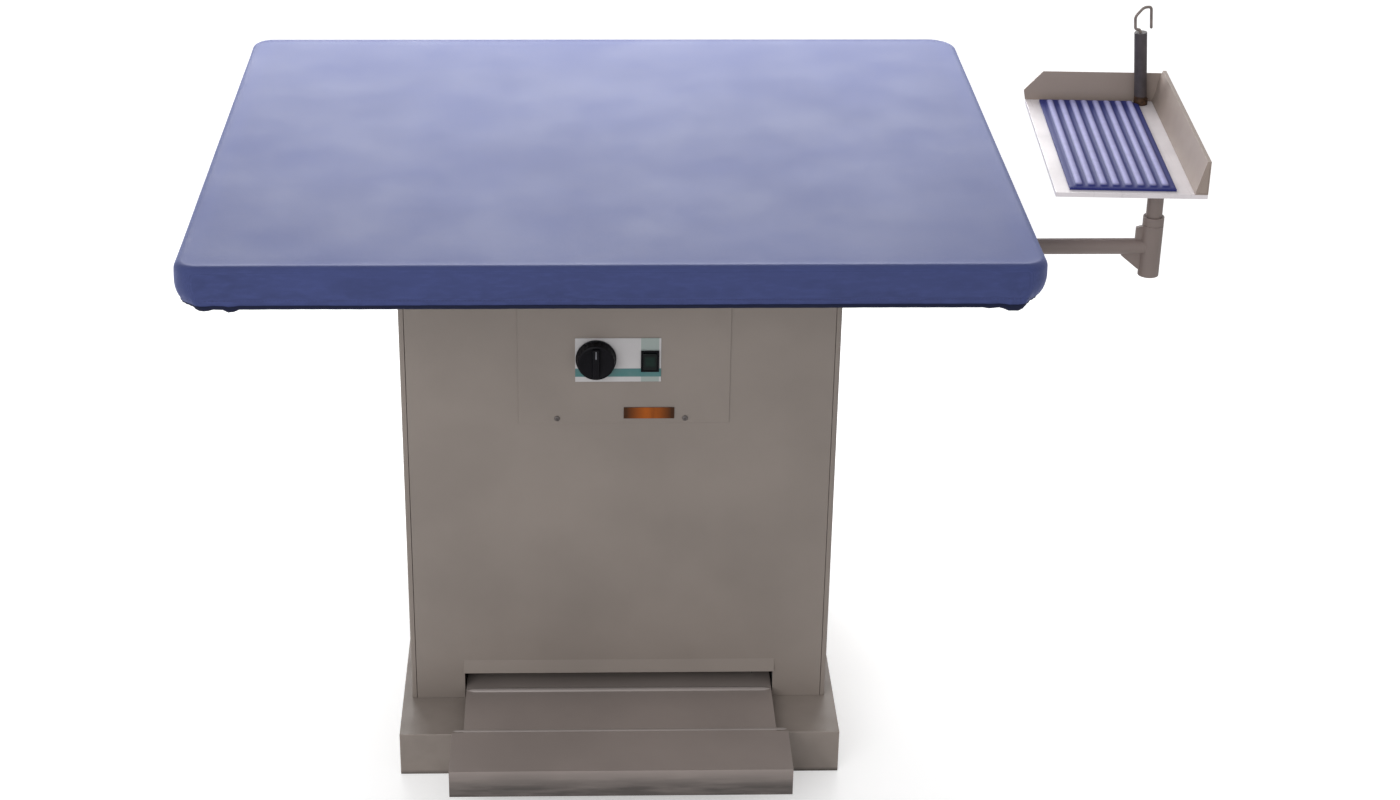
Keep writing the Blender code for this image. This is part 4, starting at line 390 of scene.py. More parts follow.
def printed_badge(name, middle, half):
    """Plain orange plate, browner towards its ends."""
    surface = Surface(name, BADGE_ORANGE, 0.5)
    ends = surface.level(surface.away("X", middle), half * 0.15, half * 0.90)
    patch = surface.times(surface.cloud(1.0, 3, 0.40, 0.62, stretch=(95.0, 1.0, 8.0)), 0.5)
    surface.set(Base_Color=surface.mixed(surface.math("MAXIMUM", ends, patch), BADGE_ORANGE, BADGE_BROWN),
                Specular_IOR_Level=0.2)
    return surface.grain(900.0, 0.00003, 0.4).material


def lit_button(name, colour, window, middle, half_x, half_z):
    """Glossy dark button with a duller window in it, for its lamp."""
    surface = Surface(name, colour, 0.30)
    near_x = surface.level(surface.away("X", middle.x), half_x, half_x * 0.55)
    near_z = surface.level(surface.away("Z", middle.z), half_z, half_z * 0.55)
    lens = surface.mottled(surface.level(surface.bands(160.0, "Z"), 0.2, 0.8), window, 0.82, 1.0)
    surface.set(Base_Color=surface.mixed(surface.times(near_x, near_z), colour, lens), Coat_Weight=0.1,
                Coat_Roughness=0.2, Specular_IOR_Level=0.15)
    return surface.grain(1500.0, 0.00001, 0.5).material


# The control panel's label
LABEL_BAND_LOW_SHARE = 0.12
LABEL_BAND_HIGH_SHARE = 0.31
label_low, label_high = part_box("label_plate")
LABEL_BAND_LOW = label_low.z + (label_high.z - label_low.z) * LABEL_BAND_LOW_SHARE
LABEL_BAND_HIGH = label_low.z + (label_high.z - label_low.z) * LABEL_BAND_HIGH_SHARE


# Helpers for meshes

def turns(count):
    """Angles evenly round a circle."""
    return [2 * math.pi * step / count for step in range(count)]


def bridge(shape, first, second, closed=True, down=False):
    """Faces between two rows of points, starting along the first row or down to the second."""
    for index in range(len(first) if closed else len(first) - 1):
        beside = (index + 1) % len(first)
        corners = (first[index], first[beside], second[beside], second[index])
        if down:
            corners = (first[index], second[index], second[beside], first[beside])
        shape.faces.new(corners)


def block(shape, place, size, basis=Matrix()):
    """A box of a size at a place of a frame."""
    matrix = basis @ Matrix.Translation(place) @ Matrix.Diagonal((*size, 1))
    return bmesh.ops.create_cube(shape, size=1, matrix=matrix)


def bevel(shape, edges, width, segments):
    bmesh.ops.bevel(shape, geom=edges, offset=width, segments=segments, affect="EDGES", profile=0.5)


def placed(name, data):
    """A new object in the scene."""
    obj = bpy.data.objects.new(name, data)
    bpy.context.scene.collection.objects.link(obj)
    return obj


def as_mesh(name, shape):
    """A mesh from a bmesh, which is used up."""
    mesh = bpy.data.meshes.new(name)
    shape.to_mesh(mesh)
    shape.free()
    return mesh


def smoothed(mesh, angle):
    mesh.shade_smooth()
    mesh.set_sharp_from_angle(angle=math.radians(angle))


def fresh(name, shape, finish, body, smooth_angle=40):
    """A new piece from a bmesh, which rides on a body where one is given."""
    bmesh.ops.recalc_face_normals(shape, faces=shape.faces)
    mesh = as_mesh(name, shape)
    smoothed(mesh, smooth_angle)
    obj = placed(name, mesh)
    mesh.materials.append(finish)
    if body:
        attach(obj, body)
    return obj


def filling(obj, node=None):
    """Hides the node that a finished piece stands for, where one is given, and gives the piece back."""
    if node:
        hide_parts(node)
    return obj


def with_modifier(obj, kind, **settings):
    """Changes a piece's mesh by a modifier, applied."""
    modifier = obj.modifiers.new("change", kind)
    for key, value in settings.items():
        setattr(modifier, key, value)
    bpy.context.view_layer.update()
    mesh = bpy.data.meshes.new_from_object(obj.evaluated_get(bpy.context.evaluated_depsgraph_get()))
    obj.modifiers.clear()
    obj.data = mesh


def edges_rounded(obj, width, segments, angle):
    with_modifier(obj, "BEVEL", width=width, segments=segments, limit_method="ANGLE",
                  angle_limit=math.radians(angle))


def thickened(obj, thickness):
    """Gives a sheet a thickness, inwards."""
    with_modifier(obj, "SOLIDIFY", thickness=thickness, offset=-1)
    obj.data.shade_smooth()


def solid_of(node):
    """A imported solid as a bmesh, welded."""
    shape = bmesh.new()
    shape.from_mesh(nodes[node].data)
    bmesh.ops.remove_doubles(shape, verts=shape.verts, dist=WELD)
    return shape


def steady_normals(mesh):
    """Each corner takes the normal of the largest faces that run smoothly into it: flat faces stay flat."""
    sharp = mesh.attributes.get("sharp_edge")
    around, beside, links = {}, {}, {}
    for face in mesh.polygons:
        for corner in face.loop_indices:
            loop = mesh.loops[corner]
            around.setdefault(loop.vertex_index, []).append((corner, face))
            beside.setdefault(loop.edge_index, []).append(face.index)
    for edge, faces in beside.items():
        if len(faces) == 2 and not (sharp and sharp.data[edge].value):
            for vertex in mesh.edges[edge].vertices:
                links.setdefault(vertex, []).append(faces)
    normals = [None] * len(mesh.loops)
    for vertex, corners in around.items():
        group = {face.index: face.index for _, face in corners}
        for first, second in links.get(vertex, ()):
            old, new = group[first], group[second]
            group = {face: new if mark == old else mark for face, mark in group.items()}
        for corner, face in corners:
            alike = [other for _, other in corners if group[other.index] == group[face.index]]
            normals[corner] = sum((other.normal * other.area ** 2 for other in alike), Vector()).normalized()
    mesh.normals_split_custom_set(normals)


def mark_wear(mesh, width):
    """Marks the narrow faces that round a piece's edges."""
    wear = mesh.attributes.new(WEAR, "FLOAT", "FACE")
    for face in mesh.polygons:
        corners = [mesh.vertices[index].co for index in face.vertices]
        longest = max((after - before).length for before, after in zip(corners, corners[1:] + corners[:1]))
        wear.data[face.index].value = float(face.area < WORN_SPREAD * width * longest)


def refined(node, width, finish, body):
    """Stands for a rigid node: the same shape with its edges rounded."""
    shape = solid_of(node)
    bmesh.ops.dissolve_limit(shape, angle_limit=math.radians(FLAT_ANGLE), verts=shape.verts,
                             edges=shape.edges)
    obj = fresh(node + "_piece", shape, finish, body)
    edges_rounded(obj, width, 2, EDGE_ANGLE)
    smoothed(obj.data, SHARP_ANGLE)
    steady_normals(obj.data)
    mark_wear(obj.data, width)
    filling(obj, node)


def carve(obj, tool):
    """Cuts a bmesh out of a piece."""
    bmesh.ops.recalc_face_normals(tool, faces=tool.faces)
    cutter = placed("cutter", as_mesh("cutter", tool))
    with_modifier(obj, "BOOLEAN", object=cutter, operation="DIFFERENCE", solver="EXACT")
    bpy.data.objects.remove(cutter)


def repaint(finish, *names):
    """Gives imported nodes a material."""
    for name in names:
        slots = nodes[name].data.materials
        slots.clear()
        slots.append(finish)
        nodes[name].data.shade_smooth()


# The cloth cover, its stitching and the pad

COVER_CORNER = 0.030
BACK_RIGHT_CORNER = 0.042
COVER_EDGE = 0.010
SHOULDER_DROP = 0.0095
HEM_ROLL = 0.0035
HEM_REACH = 0.036
CLOTH_THICKNESS = 0.0012
CELLS_X = 118
CELLS_Y = 96
EDGE_SHARE = 0.6             # how much the cells draw together towards the edge
CORNER_SPAN = 0.085          # the cloth is gathered this far to each side of a corner
SEAM_RISE = 0.0125           # the casing's seam above the hem
SEAM_DEPTH = 0.0006
SEAM_SPREAD = 0.0011
ROWS_SHOULDER = 8
ROWS_SIDE = 14
ROWS_ROLL = 10
ROWS_UNDER = 8
FRONT_SPAN = 0.030           # the corner's roll runs out this far along the front or back
SIDE_SPAN = 0.125
SPAN_FADE_SHARE = 0.75
CORNER_BULGE = 0.0018
RIPPLE_PITCH = 0.034
FOLD_PITCH = 0.013
FOLD_DEPTH = 0.0014
LUMP_HEIGHT = 0.009
TOP_WAVES = ((5, 1.7, 0.0003), (17, 4.2, 0.00012))     # each with its pitch per metre, seed and height
TOP_SUNK = 0.0004            # the cloth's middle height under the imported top
TOP_SOFT_FROM = 0.93
TOP_SOFT_DROP = 0.0010
SLOW_NOISE = (9, 30, 0.3)    # how often it changes per metre of travel and of height, and a seed
QUICK_NOISE = (46, 12, 7.1)
DRIFT_DEPTH = 0.0007
DRIFT_GROWTH = 3             # it is full a third of the way down the skirt
BULGE_SPAN = 1.1             # the bulge is over a little above the hem
RIPPLE_DEPTH = 0.0004
SAG_RIPPLE = 0.0009
SAG_FOLD = 0.0012
SAG_RISE = 0.0008
RIPPLE_WANDER = 2.5          # how far noise shifts the ripples and folds, in radians
FOLD_WANDER = 1.6
FOLD_START = 0.8
SEAM_VARIES = 0.4
LUMP_FADE = 0.7              # lumps fade by this much under the table
PULL_POWER = 10              # how late towards the edge the grid follows the outline, and the waves end
WAVE_POWER = 6
SOFT_POWER = 30
HEM_SHADE_RISE = 0.0062        # the painted shade band's upper edge above the hem
HEM_SHADE_ROWS = 7
HEM_SHADE_OUT = 0.0005
HEM_SHADE_UNDER_SHARE = 0.06
HEM_SHADE_THICKNESS = 0.0009

# Corners in order: front left, front right, back right, back left. The hem rolls in by one size and up by
# another, and bunches of gathered cloth hang below it, each at a way along the hem, with a width and a drop.
CORNER_ROLLS = ((0.014, 0.029), (0.025, 0.035), (0.020, 0.031), (0.020, 0.031))
CORNER_LUMPS = (
    ((0.064, 0.007, 0.0040), (0.030, 0.009, 0.0024), (-0.040, 0.006, 0.0024), (-0.062, 0.005, 0.0015)),
    ((-0.036, 0.013, 0.0052), (-0.066, 0.005, 0.0016), (0.040, 0.006, 0.0022), (0.062, 0.005, 0.0018)),
    ((-0.030, 0.007, 0.0030), (0.026, 0.006, 0.0026), (0.050, 0.005, 0.0014)),
    ((-0.044, 0.005, 0.0018), (-0.020, 0.007, 0.0030), (0.033, 0.006, 0.0024)),
)
STITCH_PITCH = 0.0048
STITCH_LENGTH = 0.0032
STITCH_THICKNESS = 0.0007
STITCH_OUT_SHARE = 0.15      # of its thickness
STITCH_BODY = 0.36           # its full thickness reaches this share of its length to each side
PAD_CORNER = 0.030
PAD_EDGE = 0.0035
PAD_CUTS = 12
PAD_CROWN = 0.0006
PAD_DRAWN_SHARE = 0.0012

cover_low, cover_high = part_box("cover")
cover_middle = (cover_low + cover_high) / 2
cover_half_x = (cover_high.x - cover_low.x) / 2
cover_half_y = (cover_high.y - cover_low.y) / 2


def drawn_together(share):
    """Spaces cells more closely towards both ends of a side."""
    return share * (1 - EDGE_SHARE) + EDGE_SHARE * math.sin(math.pi / 2 * share)


def cover_edge(across, along):
    """Point and outward normal of the skirt's outline, for a place on the edge of the square from -1 to 1."""
    x, y = across * cover_half_x, along * cover_half_y
    side_x, side_y = math.copysign(1, across), math.copysign(1, along)
    radius = BACK_RIGHT_CORNER if side_x > 0 and side_y > 0 else COVER_CORNER
    inner = Vector((side_x * (cover_half_x - radius), side_y * (cover_half_y - radius)))
    if abs(x) >= cover_half_x - 1e-9 and abs(y) > abs(inner.y):
        turn = math.pi / 4 * (abs(y) - abs(inner.y)) / radius
    elif abs(y) >= cover_half_y - 1e-9 and abs(x) > abs(inner.x):
        turn = math.pi / 2 - math.pi / 4 * (abs(x) - abs(inner.x)) / radius
    elif abs(across) >= abs(along):
        return Vector((x, y)), Vector((side_x, 0))
    else:
        return Vector((x, y)), Vector((0, side_y))
    normal = Vector((side_x * math.cos(turn), side_y * math.sin(turn)))
    return inner + normal * radius, normal


# A place on the skirt's outline: point, outward normal, travel round the table, way from the nearest corner
Spot = namedtuple("Spot", "place normal travel way corner")


def gather_share(way):
    """How strongly the cloth is gathered, by the distance from a corner's middle: 1 there, 0 along a side."""
    return max(0.0, 1 - abs(way) / CORNER_SPAN) ** 1.5


def skirt_rows():
    """Rows of the skirt from the top's edge to under the table: a run, and the share of the way along it."""
    rows = [("shoulder", step / ROWS_SHOULDER) for step in range(1, ROWS_SHOULDER + 1)]
    rows += [("side", step / ROWS_SIDE) for step in range(1, ROWS_SIDE)]
    rows += [("roll", step / ROWS_ROLL) for step in range(ROWS_ROLL + 1)]
    rows += [("under", step / ROWS_UNDER) for step in range(1, ROWS_UNDER + 1)]
    return rows


def hem_roll(way, corner):
    """How far the hem rolls in and up: a little along the sides, and roundly at a corner."""
    on_side = (way > 0) == (corner % 2 == 1)
    span = SIDE_SPAN if on_side else FRONT_SPAN
    near = min(1.0, max(0.0, (span - abs(way)) / (span * SPAN_FADE_SHARE)))
    blend = near * near * (3 - 2 * near)
    return [HEM_ROLL + (size - HEM_ROLL) * blend for size in CORNER_ROLLS[corner]]


def skirt_section(run, share, way, corner):
    """Inset from the outline and height above the hem, for a place on the skirt's section."""
    roll_in, roll_up = hem_roll(way, corner)
    turn = math.pi / 2 * share
    shoulder = cover_high.z - cover_low.z - SHOULDER_DROP
    if run == "shoulder":
        return COVER_EDGE * (1 - math.sin(turn)), shoulder + SHOULDER_DROP * math.cos(turn)
    if run == "side":
        return 0.0, shoulder * (1 - share) + roll_up * share
    if run == "roll":
        return roll_in * (1 - math.cos(turn)), roll_up * (1 - math.sin(turn))
    return roll_in + (HEM_REACH - roll_in) * share, 0.0


def run_at(spot, height):
    """The run, and the share of it, where the skirt's section passes a height above the hem."""
    shoulder = cover_high.z - cover_low.z - SHOULDER_DROP
    roll_up = hem_roll(spot.way, spot.corner)[1]
    if height > roll_up:
        return "side", (shoulder - height) / (shoulder - roll_up)
    return "roll", math.asin(1 - height / roll_up) * 2 / math.pi


def cover_point(spot, run, share):
    """A point of the skirt with its folds, seam and waves."""
    inset, height = skirt_section(run, share, spot.way, spot.corner)
    down = 1 - height / (cover_high.z - cover_low.z)
    gathered = gather_share(spot.way)
    slow, quick = [noise.noise(Vector((spot.travel * around, height * upwards, seed)))
                   for around, upwards, seed in (SLOW_NOISE, QUICK_NOISE)]
    ripple = math.sin(spot.travel * 2 * math.pi / RIPPLE_PITCH + RIPPLE_WANDER * slow)
    fold = math.sin(spot.way * 2 * math.pi / FOLD_PITCH + FOLD_WANDER * quick + FOLD_START)
    out = DRIFT_DEPTH * slow * min(1, DRIFT_GROWTH * down)
    out += CORNER_BULGE * gathered * math.sin(math.pi * min(1, down * BULGE_SPAN))
    out -= down ** 2 * (RIPPLE_DEPTH * (0.5 + 0.5 * ripple) + FOLD_DEPTH * gathered * (0.5 + 0.5 * fold))
    if run in ("side", "roll"):
        out -= SEAM_DEPTH * math.exp(-((height - SEAM_RISE) / SEAM_SPREAD) ** 2) * (1 + SEAM_VARIES * quick)
    under = share if run == "under" else 0.0
    sag = under * (SAG_RIPPLE * ripple + SAG_FOLD * gathered * fold - SAG_RISE)
    lump = sum(drop * math.exp(-((spot.way - middle) / width) ** 4)
               for middle, width, drop in CORNER_LUMPS[spot.corner])
    low = max(0.0, 1 - height / LUMP_HEIGHT) * (1 - LUMP_FADE * under)
    flat = spot.place - spot.normal * (inset - out)
    return Vector((cover_middle.x + flat.x, cover_middle.y + flat.y,
                   cover_low.z + height + sag - lump * low))


def nearest_corner(travel, corners, total):
    """Signed way of a place from its nearest corner, and which corner that is."""
    offsets = [(travel - corner + lap, index) for index, corner in enumerate(corners)
               for lap in (-total, 0, total)]
    return min(offsets, key=lambda offset: abs(offset[0]))


def cover_top(shape, far_x, far_y):
    """The cover's top as a grid of points, with its faces."""
    grid = {}
    for column in range(-far_x, far_x + 1):
        for row in range(-far_y, far_y + 1):
            across = drawn_together(2 * column / CELLS_X)
            along = drawn_together(2 * row / CELLS_Y)
            ring = max(abs(across), abs(along))
            x, y = across * cover_half_x, along * cover_half_y
            if ring > 0:
                edge, normal = cover_edge(across / ring, along / ring)
                plain = Vector((across / ring * cover_half_x, along / ring * cover_half_y))
                pulled = (edge - normal * COVER_EDGE - plain) * ring ** PULL_POWER
                x, y = x + pulled.x, y + pulled.y
            wave = sum(size * noise.noise(Vector((x * pitch, y * pitch, seed)))
                       for pitch, seed, size in TOP_WAVES)
            soft = TOP_SOFT_DROP * max(0.0, (ring - TOP_SOFT_FROM) / (1 - TOP_SOFT_FROM)) ** 2
            height = cover_high.z - TOP_SUNK + wave * (1 - ring ** WAVE_POWER)
            height -= soft * (1 - ring ** SOFT_POWER)
            grid[column, row] = shape.verts.new((cover_middle.x + x, cover_middle.y + y, height))
    for column in range(-far_x, far_x):
        for row in range(-far_y, far_y):
            shape.faces.new([grid[column + a, row + b] for a, b in ((0, 0), (1, 0), (1, 1), (0, 1))])
    return grid


def cover_border(far_x, far_y):
    """The grid's places round the table from the front left, and the spots of the skirt's outline there."""
    border = [(column, -far_y) for column in range(-far_x, far_x)]
    border += [(far_x, row) for row in range(-far_y, far_y)]
    border += [(column, far_y) for column in range(far_x, -far_x, -1)]
    border += [(-far_x, row) for row in range(far_y, -far_y, -1)]
    edges = [cover_edge(drawn_together(column / far_x), drawn_together(row / far_y))
             for column, row in border]
    travels = [0.0]
    for (before, _), (after, _) in zip(edges, edges[1:]):
        travels.append(travels[-1] + (after - before).length)
    total = travels[-1] + (edges[0][0] - edges[-1][0]).length
    corners = [travels[index] for index in (0, CELLS_X, CELLS_X + CELLS_Y, 2 * CELLS_X + CELLS_Y)]
    spots = [Spot(place, normal, travel, *nearest_corner(travel, corners, total))
             for (place, normal), travel in zip(edges, travels)]
    return border, spots


def make_cover():
    """The cloth cover in one piece: the top, its skirt and the hem turned in under the table."""
    shape = bmesh.new()
    grid = cover_top(shape, CELLS_X // 2, CELLS_Y // 2)
    border, spots = cover_border(CELLS_X // 2, CELLS_Y // 2)
    loop = [grid[key] for key in border]
    for run, share in skirt_rows():
        lower = [shape.verts.new(cover_point(spot, run, share)) for spot in spots]
        bridge(shape, loop, lower, down=True)
        loop = lower
    made = fresh("cover_cloth", shape, woven_cloth("ironing_cloth", CLOTH_BLUE, 0.5), "table", 180)
    thickened(made, CLOTH_THICKNESS)
    return filling(made, "cover"), spots


def between_spots(spots, first, share):
    """A place between one spot and the next."""
    start, end = spots[first], spots[(first + 1) % len(spots)]
    span = (end.place - start.place).length
    return Spot(start.place.lerp(end.place, share), start.normal.lerp(end.normal, share).normalized(),
                start.travel + span * share, start.way + span * share, start.corner)


def make_stitching(spots):
    """A row of stitches along the casing's seam."""
    shape = bmesh.new()
    up = Vector((0, 0, 1))
    total = spots[-1].travel + (spots[0].place - spots[-1].place).length
    count = int(total / STITCH_PITCH)
    index = 0
    for stitch in range(count):
        travel = total * stitch / count
        while index + 1 < len(spots) and spots[index + 1].travel < travel:
            index += 1
        span = (spots[(index + 1) % len(spots)].place - spots[index].place).length
        spot = between_spots(spots, index, (travel - spots[index].travel) / span)
        middle = cover_point(spot, *run_at(spot, SEAM_RISE))
        out = Vector((*spot.normal, 0))
        along = Vector((-spot.normal.y, spot.normal.x, 0))
        middle += out * STITCH_THICKNESS * STITCH_OUT_SHARE
        rings = [[shape.verts.new(middle + along * STITCH_LENGTH * reach
                                  + (out * math.cos(turn) + up * math.sin(turn)) * STITCH_THICKNESS / 2)
                  for turn in turns(6)] for reach in (-STITCH_BODY, STITCH_BODY)]
        tips = [shape.verts.new(middle + along * STITCH_LENGTH * reach - out * STITCH_THICKNESS * 0.5)
                for reach in (-0.5, 0.5)]
        bridge(shape, *rings)
        for side in range(6):
            after = (side + 1) % 6
            shape.faces.new((rings[0][after], rings[0][side], tips[0]))
            shape.faces.new((rings[1][side], rings[1][after], tips[1]))
    thread = sewing_thread("cover_thread", THREAD_BLUE)
    return filling(fresh("cover_stitching", shape, thread, "table"))


def hem_shade_rows(spot):
    """The section of the hem's painted shade band: from its edge down round the hem and a little way under.
    """
    rows = [run_at(spot, HEM_SHADE_RISE * (1 - step / HEM_SHADE_ROWS) ** 1.5) for step in range(HEM_SHADE_ROWS)]
    return rows + [("roll", 1.0), ("under", HEM_SHADE_UNDER_SHARE)]


def make_hem_shade(spots):
    """Dark band round the hem, a little proud of the cloth: painted shade where the hem rolls under."""
    shape = bmesh.new()
    loops = []
    last = HEM_SHADE_ROWS + 1
    for row in range(last + 1):
        loop = []
        for spot in spots:
            rows = hem_shade_rows(spot)
            before, point, after = [cover_point(spot, *rows[min(last, max(0, row + step))])
                                    for step in (-1, 0, 1)]
            across = Vector((-spot.normal.y, spot.normal.x, 0))
            out = across.cross(after - before).normalized()
            rise = HEM_SHADE_OUT if 0 < row < last else -HEM_SHADE_OUT
            loop.append(shape.verts.new(point + out * rise))
        loops.append(loop)
    for upper, lower in zip(loops, loops[1:]):
        bridge(shape, upper, lower, down=True)
    made = fresh("cover_hem_shade", shape, woven_cloth("hem_shade_cloth", HEM_SHADE_NAVY, 0.05), "table", 70)
    thickened(made, HEM_SHADE_THICKNESS)
    return filling(made)


BOX_CLEAR = 0.0020           # between the cloth and the sheet behind it
BOX_CUTS = 13
BOX_CUT_SPAN = 0.135
BOX_WALL = 0.004             # what lies deeper than this in the box isn't drawn in, unless near a corner


def nearest_spot(spots, x, y):
    return min(spots, key=lambda spot: (cover_middle.x + spot.place.x - x) ** 2
               + (cover_middle.y + spot.place.y - y) ** 2)


def make_vacuum_box(spots, finish):
    """The vacuum box, its lower corners drawn in so that the cloth rolls under them."""
    low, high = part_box("vacuum_box")
    top = min(high.z, cover_low.z + max(up for _, up in CORNER_ROLLS))
    shape = solid_of("vacuum_box")
    axis_x, axis_y, axis_z = Matrix.Identity(3)
    steps = range(1, BOX_CUTS + 1)
    cuts = [(Vector((0, 0, low.z + (top - low.z) * step / BOX_CUTS)), axis_z) for step in steps]
    for step in steps:
        reach = BOX_CUT_SPAN * step / BOX_CUTS
        for axis in (axis_x, axis_y):
            cuts += [(low + axis * reach, axis), (high - axis * reach, axis)]
    for place, normal in cuts:
        bmesh.ops.bisect_plane(shape, geom=shape.verts[:] + shape.edges[:] + shape.faces[:], dist=WELD,
                               plane_co=place, plane_no=normal)
    for vertex in shape.verts:
        edge_x = min(vertex.co.x - low.x, high.x - vertex.co.x)
        edge_y = min(vertex.co.y - low.y, high.y - vertex.co.y)
        if min(edge_x, edge_y) > BOX_WALL and max(edge_x, edge_y) > COVER_CORNER or vertex.co.z > top:
            continue
        spot = nearest_spot(spots, vertex.co.x, vertex.co.y)
        edge = cover_middle.to_2d() + spot.place
        depth = (edge - vertex.co.to_2d()).dot(spot.normal)
        sheet = depth - (low.x - cover_low.x)
        roll_in, roll_up = hem_roll(spot.way, spot.corner)
        down = max(0.0, 1 - (vertex.co.z - cover_low.z) / roll_up)
        cloth = roll_in * (1 - math.sqrt(max(0.0, 1 - down * down))) + CLOTH_THICKNESS + BOX_CLEAR
        wanted = cloth + max(0.0, sheet)
        if wanted > depth:
            vertex.co -= Vector((*spot.normal, 0)) * (wanted - depth)
    made = fresh("vacuum_box_shell", shape, finish, "table", 30)
    steady_normals(made.data)
    filling(made, "vacuum_box")


def make_pad():
    """The foam pad under the cloth, with a crowned top and sides drawn in between its corners."""
    low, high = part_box("foam_pad")
    half = (high - low) / 2
    shape = bmesh.new()
    bmesh.ops.create_cube(shape, size=2)
    bmesh.ops.scale(shape, vec=half - Vector((GAP, GAP, 0)), verts=shape.verts)
    upright = [edge for edge in shape.edges if abs(edge.verts[0].co.z - edge.verts[1].co.z) > half.z]
    bevel(shape, upright, PAD_CORNER, 6)
    long = [edge for edge in shape.edges if edge.calc_length() > 4 * PAD_CORNER]
    bmesh.ops.subdivide_edges(shape, edges=long, cuts=PAD_CUTS, use_grid_fill=True)
    rims = [edge for edge in shape.edges if edge.is_manifold and edge.calc_face_angle() > 1]
    bevel(shape, rims, PAD_EDGE, 4)
    for vertex in shape.verts:
        in_x = max(0.0, 1 - (abs(vertex.co.x) / half.x) ** 2)
        in_y = max(0.0, 1 - (abs(vertex.co.y) / half.y) ** 2)
        if vertex.co.z > 0:
            vertex.co.z -= PAD_CROWN * (1 - in_x * in_y)
        vertex.co.x *= 1 - PAD_DRAWN_SHARE * in_y
        vertex.co.y *= 1 - PAD_DRAWN_SHARE * in_x
    bmesh.ops.translate(shape, vec=(low + high) / 2, verts=shape.verts)
    foam = open_foam("pad_foam", FOAM_CREAM)
    return filling(fresh("foam_pad_body", shape, foam, "table"), "foam_pad")


# The iron's tray: its own frame, and what is made in it

TRAY_TURN = math.radians(-3.0)
joints = {joint["name"]: joint for joint in frame["joints"]}
tray_axis = Vector(joints["rest_turn"]["pos_m"])
tray_frame = Matrix.Translation((tray_axis.x, tray_axis.y, 0)) @ Matrix.Rotation(TRAY_TURN, 4, "Z")
MAT_RIBS = 8
MAT_FLOOR = 0.0035
MAT_RIB_SHARE = 0.62
MAT_RIM = 0.005
MAT_STEPS_ALONG = 40
MAT_STEPS_RIB = 8
MAT_STEPS_END = 5
MAT_EDGE_DROP = 0.0008
HIGHLIGHT_RISE = 0.0012          # the ribs' painted highlight starts this far over the mat's floor
HIGHLIGHT_FULL_DROP = 0.0006     # and is full this far under the ribs' tops
NUT_X = 0.0055               # the cord holder's nut, in the tray's frame
NUT_Y = 0.2087
NUT_HEIGHT = 0.012
NOTCH_RADIUS = 0.0125
NOTCH_DEPTH = 0.04


def local_box(node, matrix):
    """Lowest and highest corner of a node in another frame."""
    back = matrix.inverted()
    points = [back @ vertex.co for vertex in nodes[node].data.vertices]
    return (Vector([min(point[axis] for point in points) for axis in range(3)]),
            Vector([max(point[axis] for point in points) for axis in range(3)]))


def mat_height(across, along, width, depth, height):
    """Height of the mat's face: round ribs that run out before the rim."""
    pitch = (width - 2 * MAT_RIM) / MAT_RIBS
    inside = across - MAT_RIM
    if inside < 0 or inside > width - 2 * MAT_RIM:
        return MAT_FLOOR
    off = abs(inside / pitch - math.floor(inside / pitch) - 0.5) * 2
    rib = max(0.0, 1 - (off / MAT_RIB_SHARE) ** 2) ** 0.5
    ends = min(along - MAT_RIM, depth - MAT_RIM - along) / (pitch * 0.5)
    fade = max(0.0, min(1.0, ends)) ** 0.5
    return MAT_FLOOR + (height - MAT_FLOOR) * rib * fade


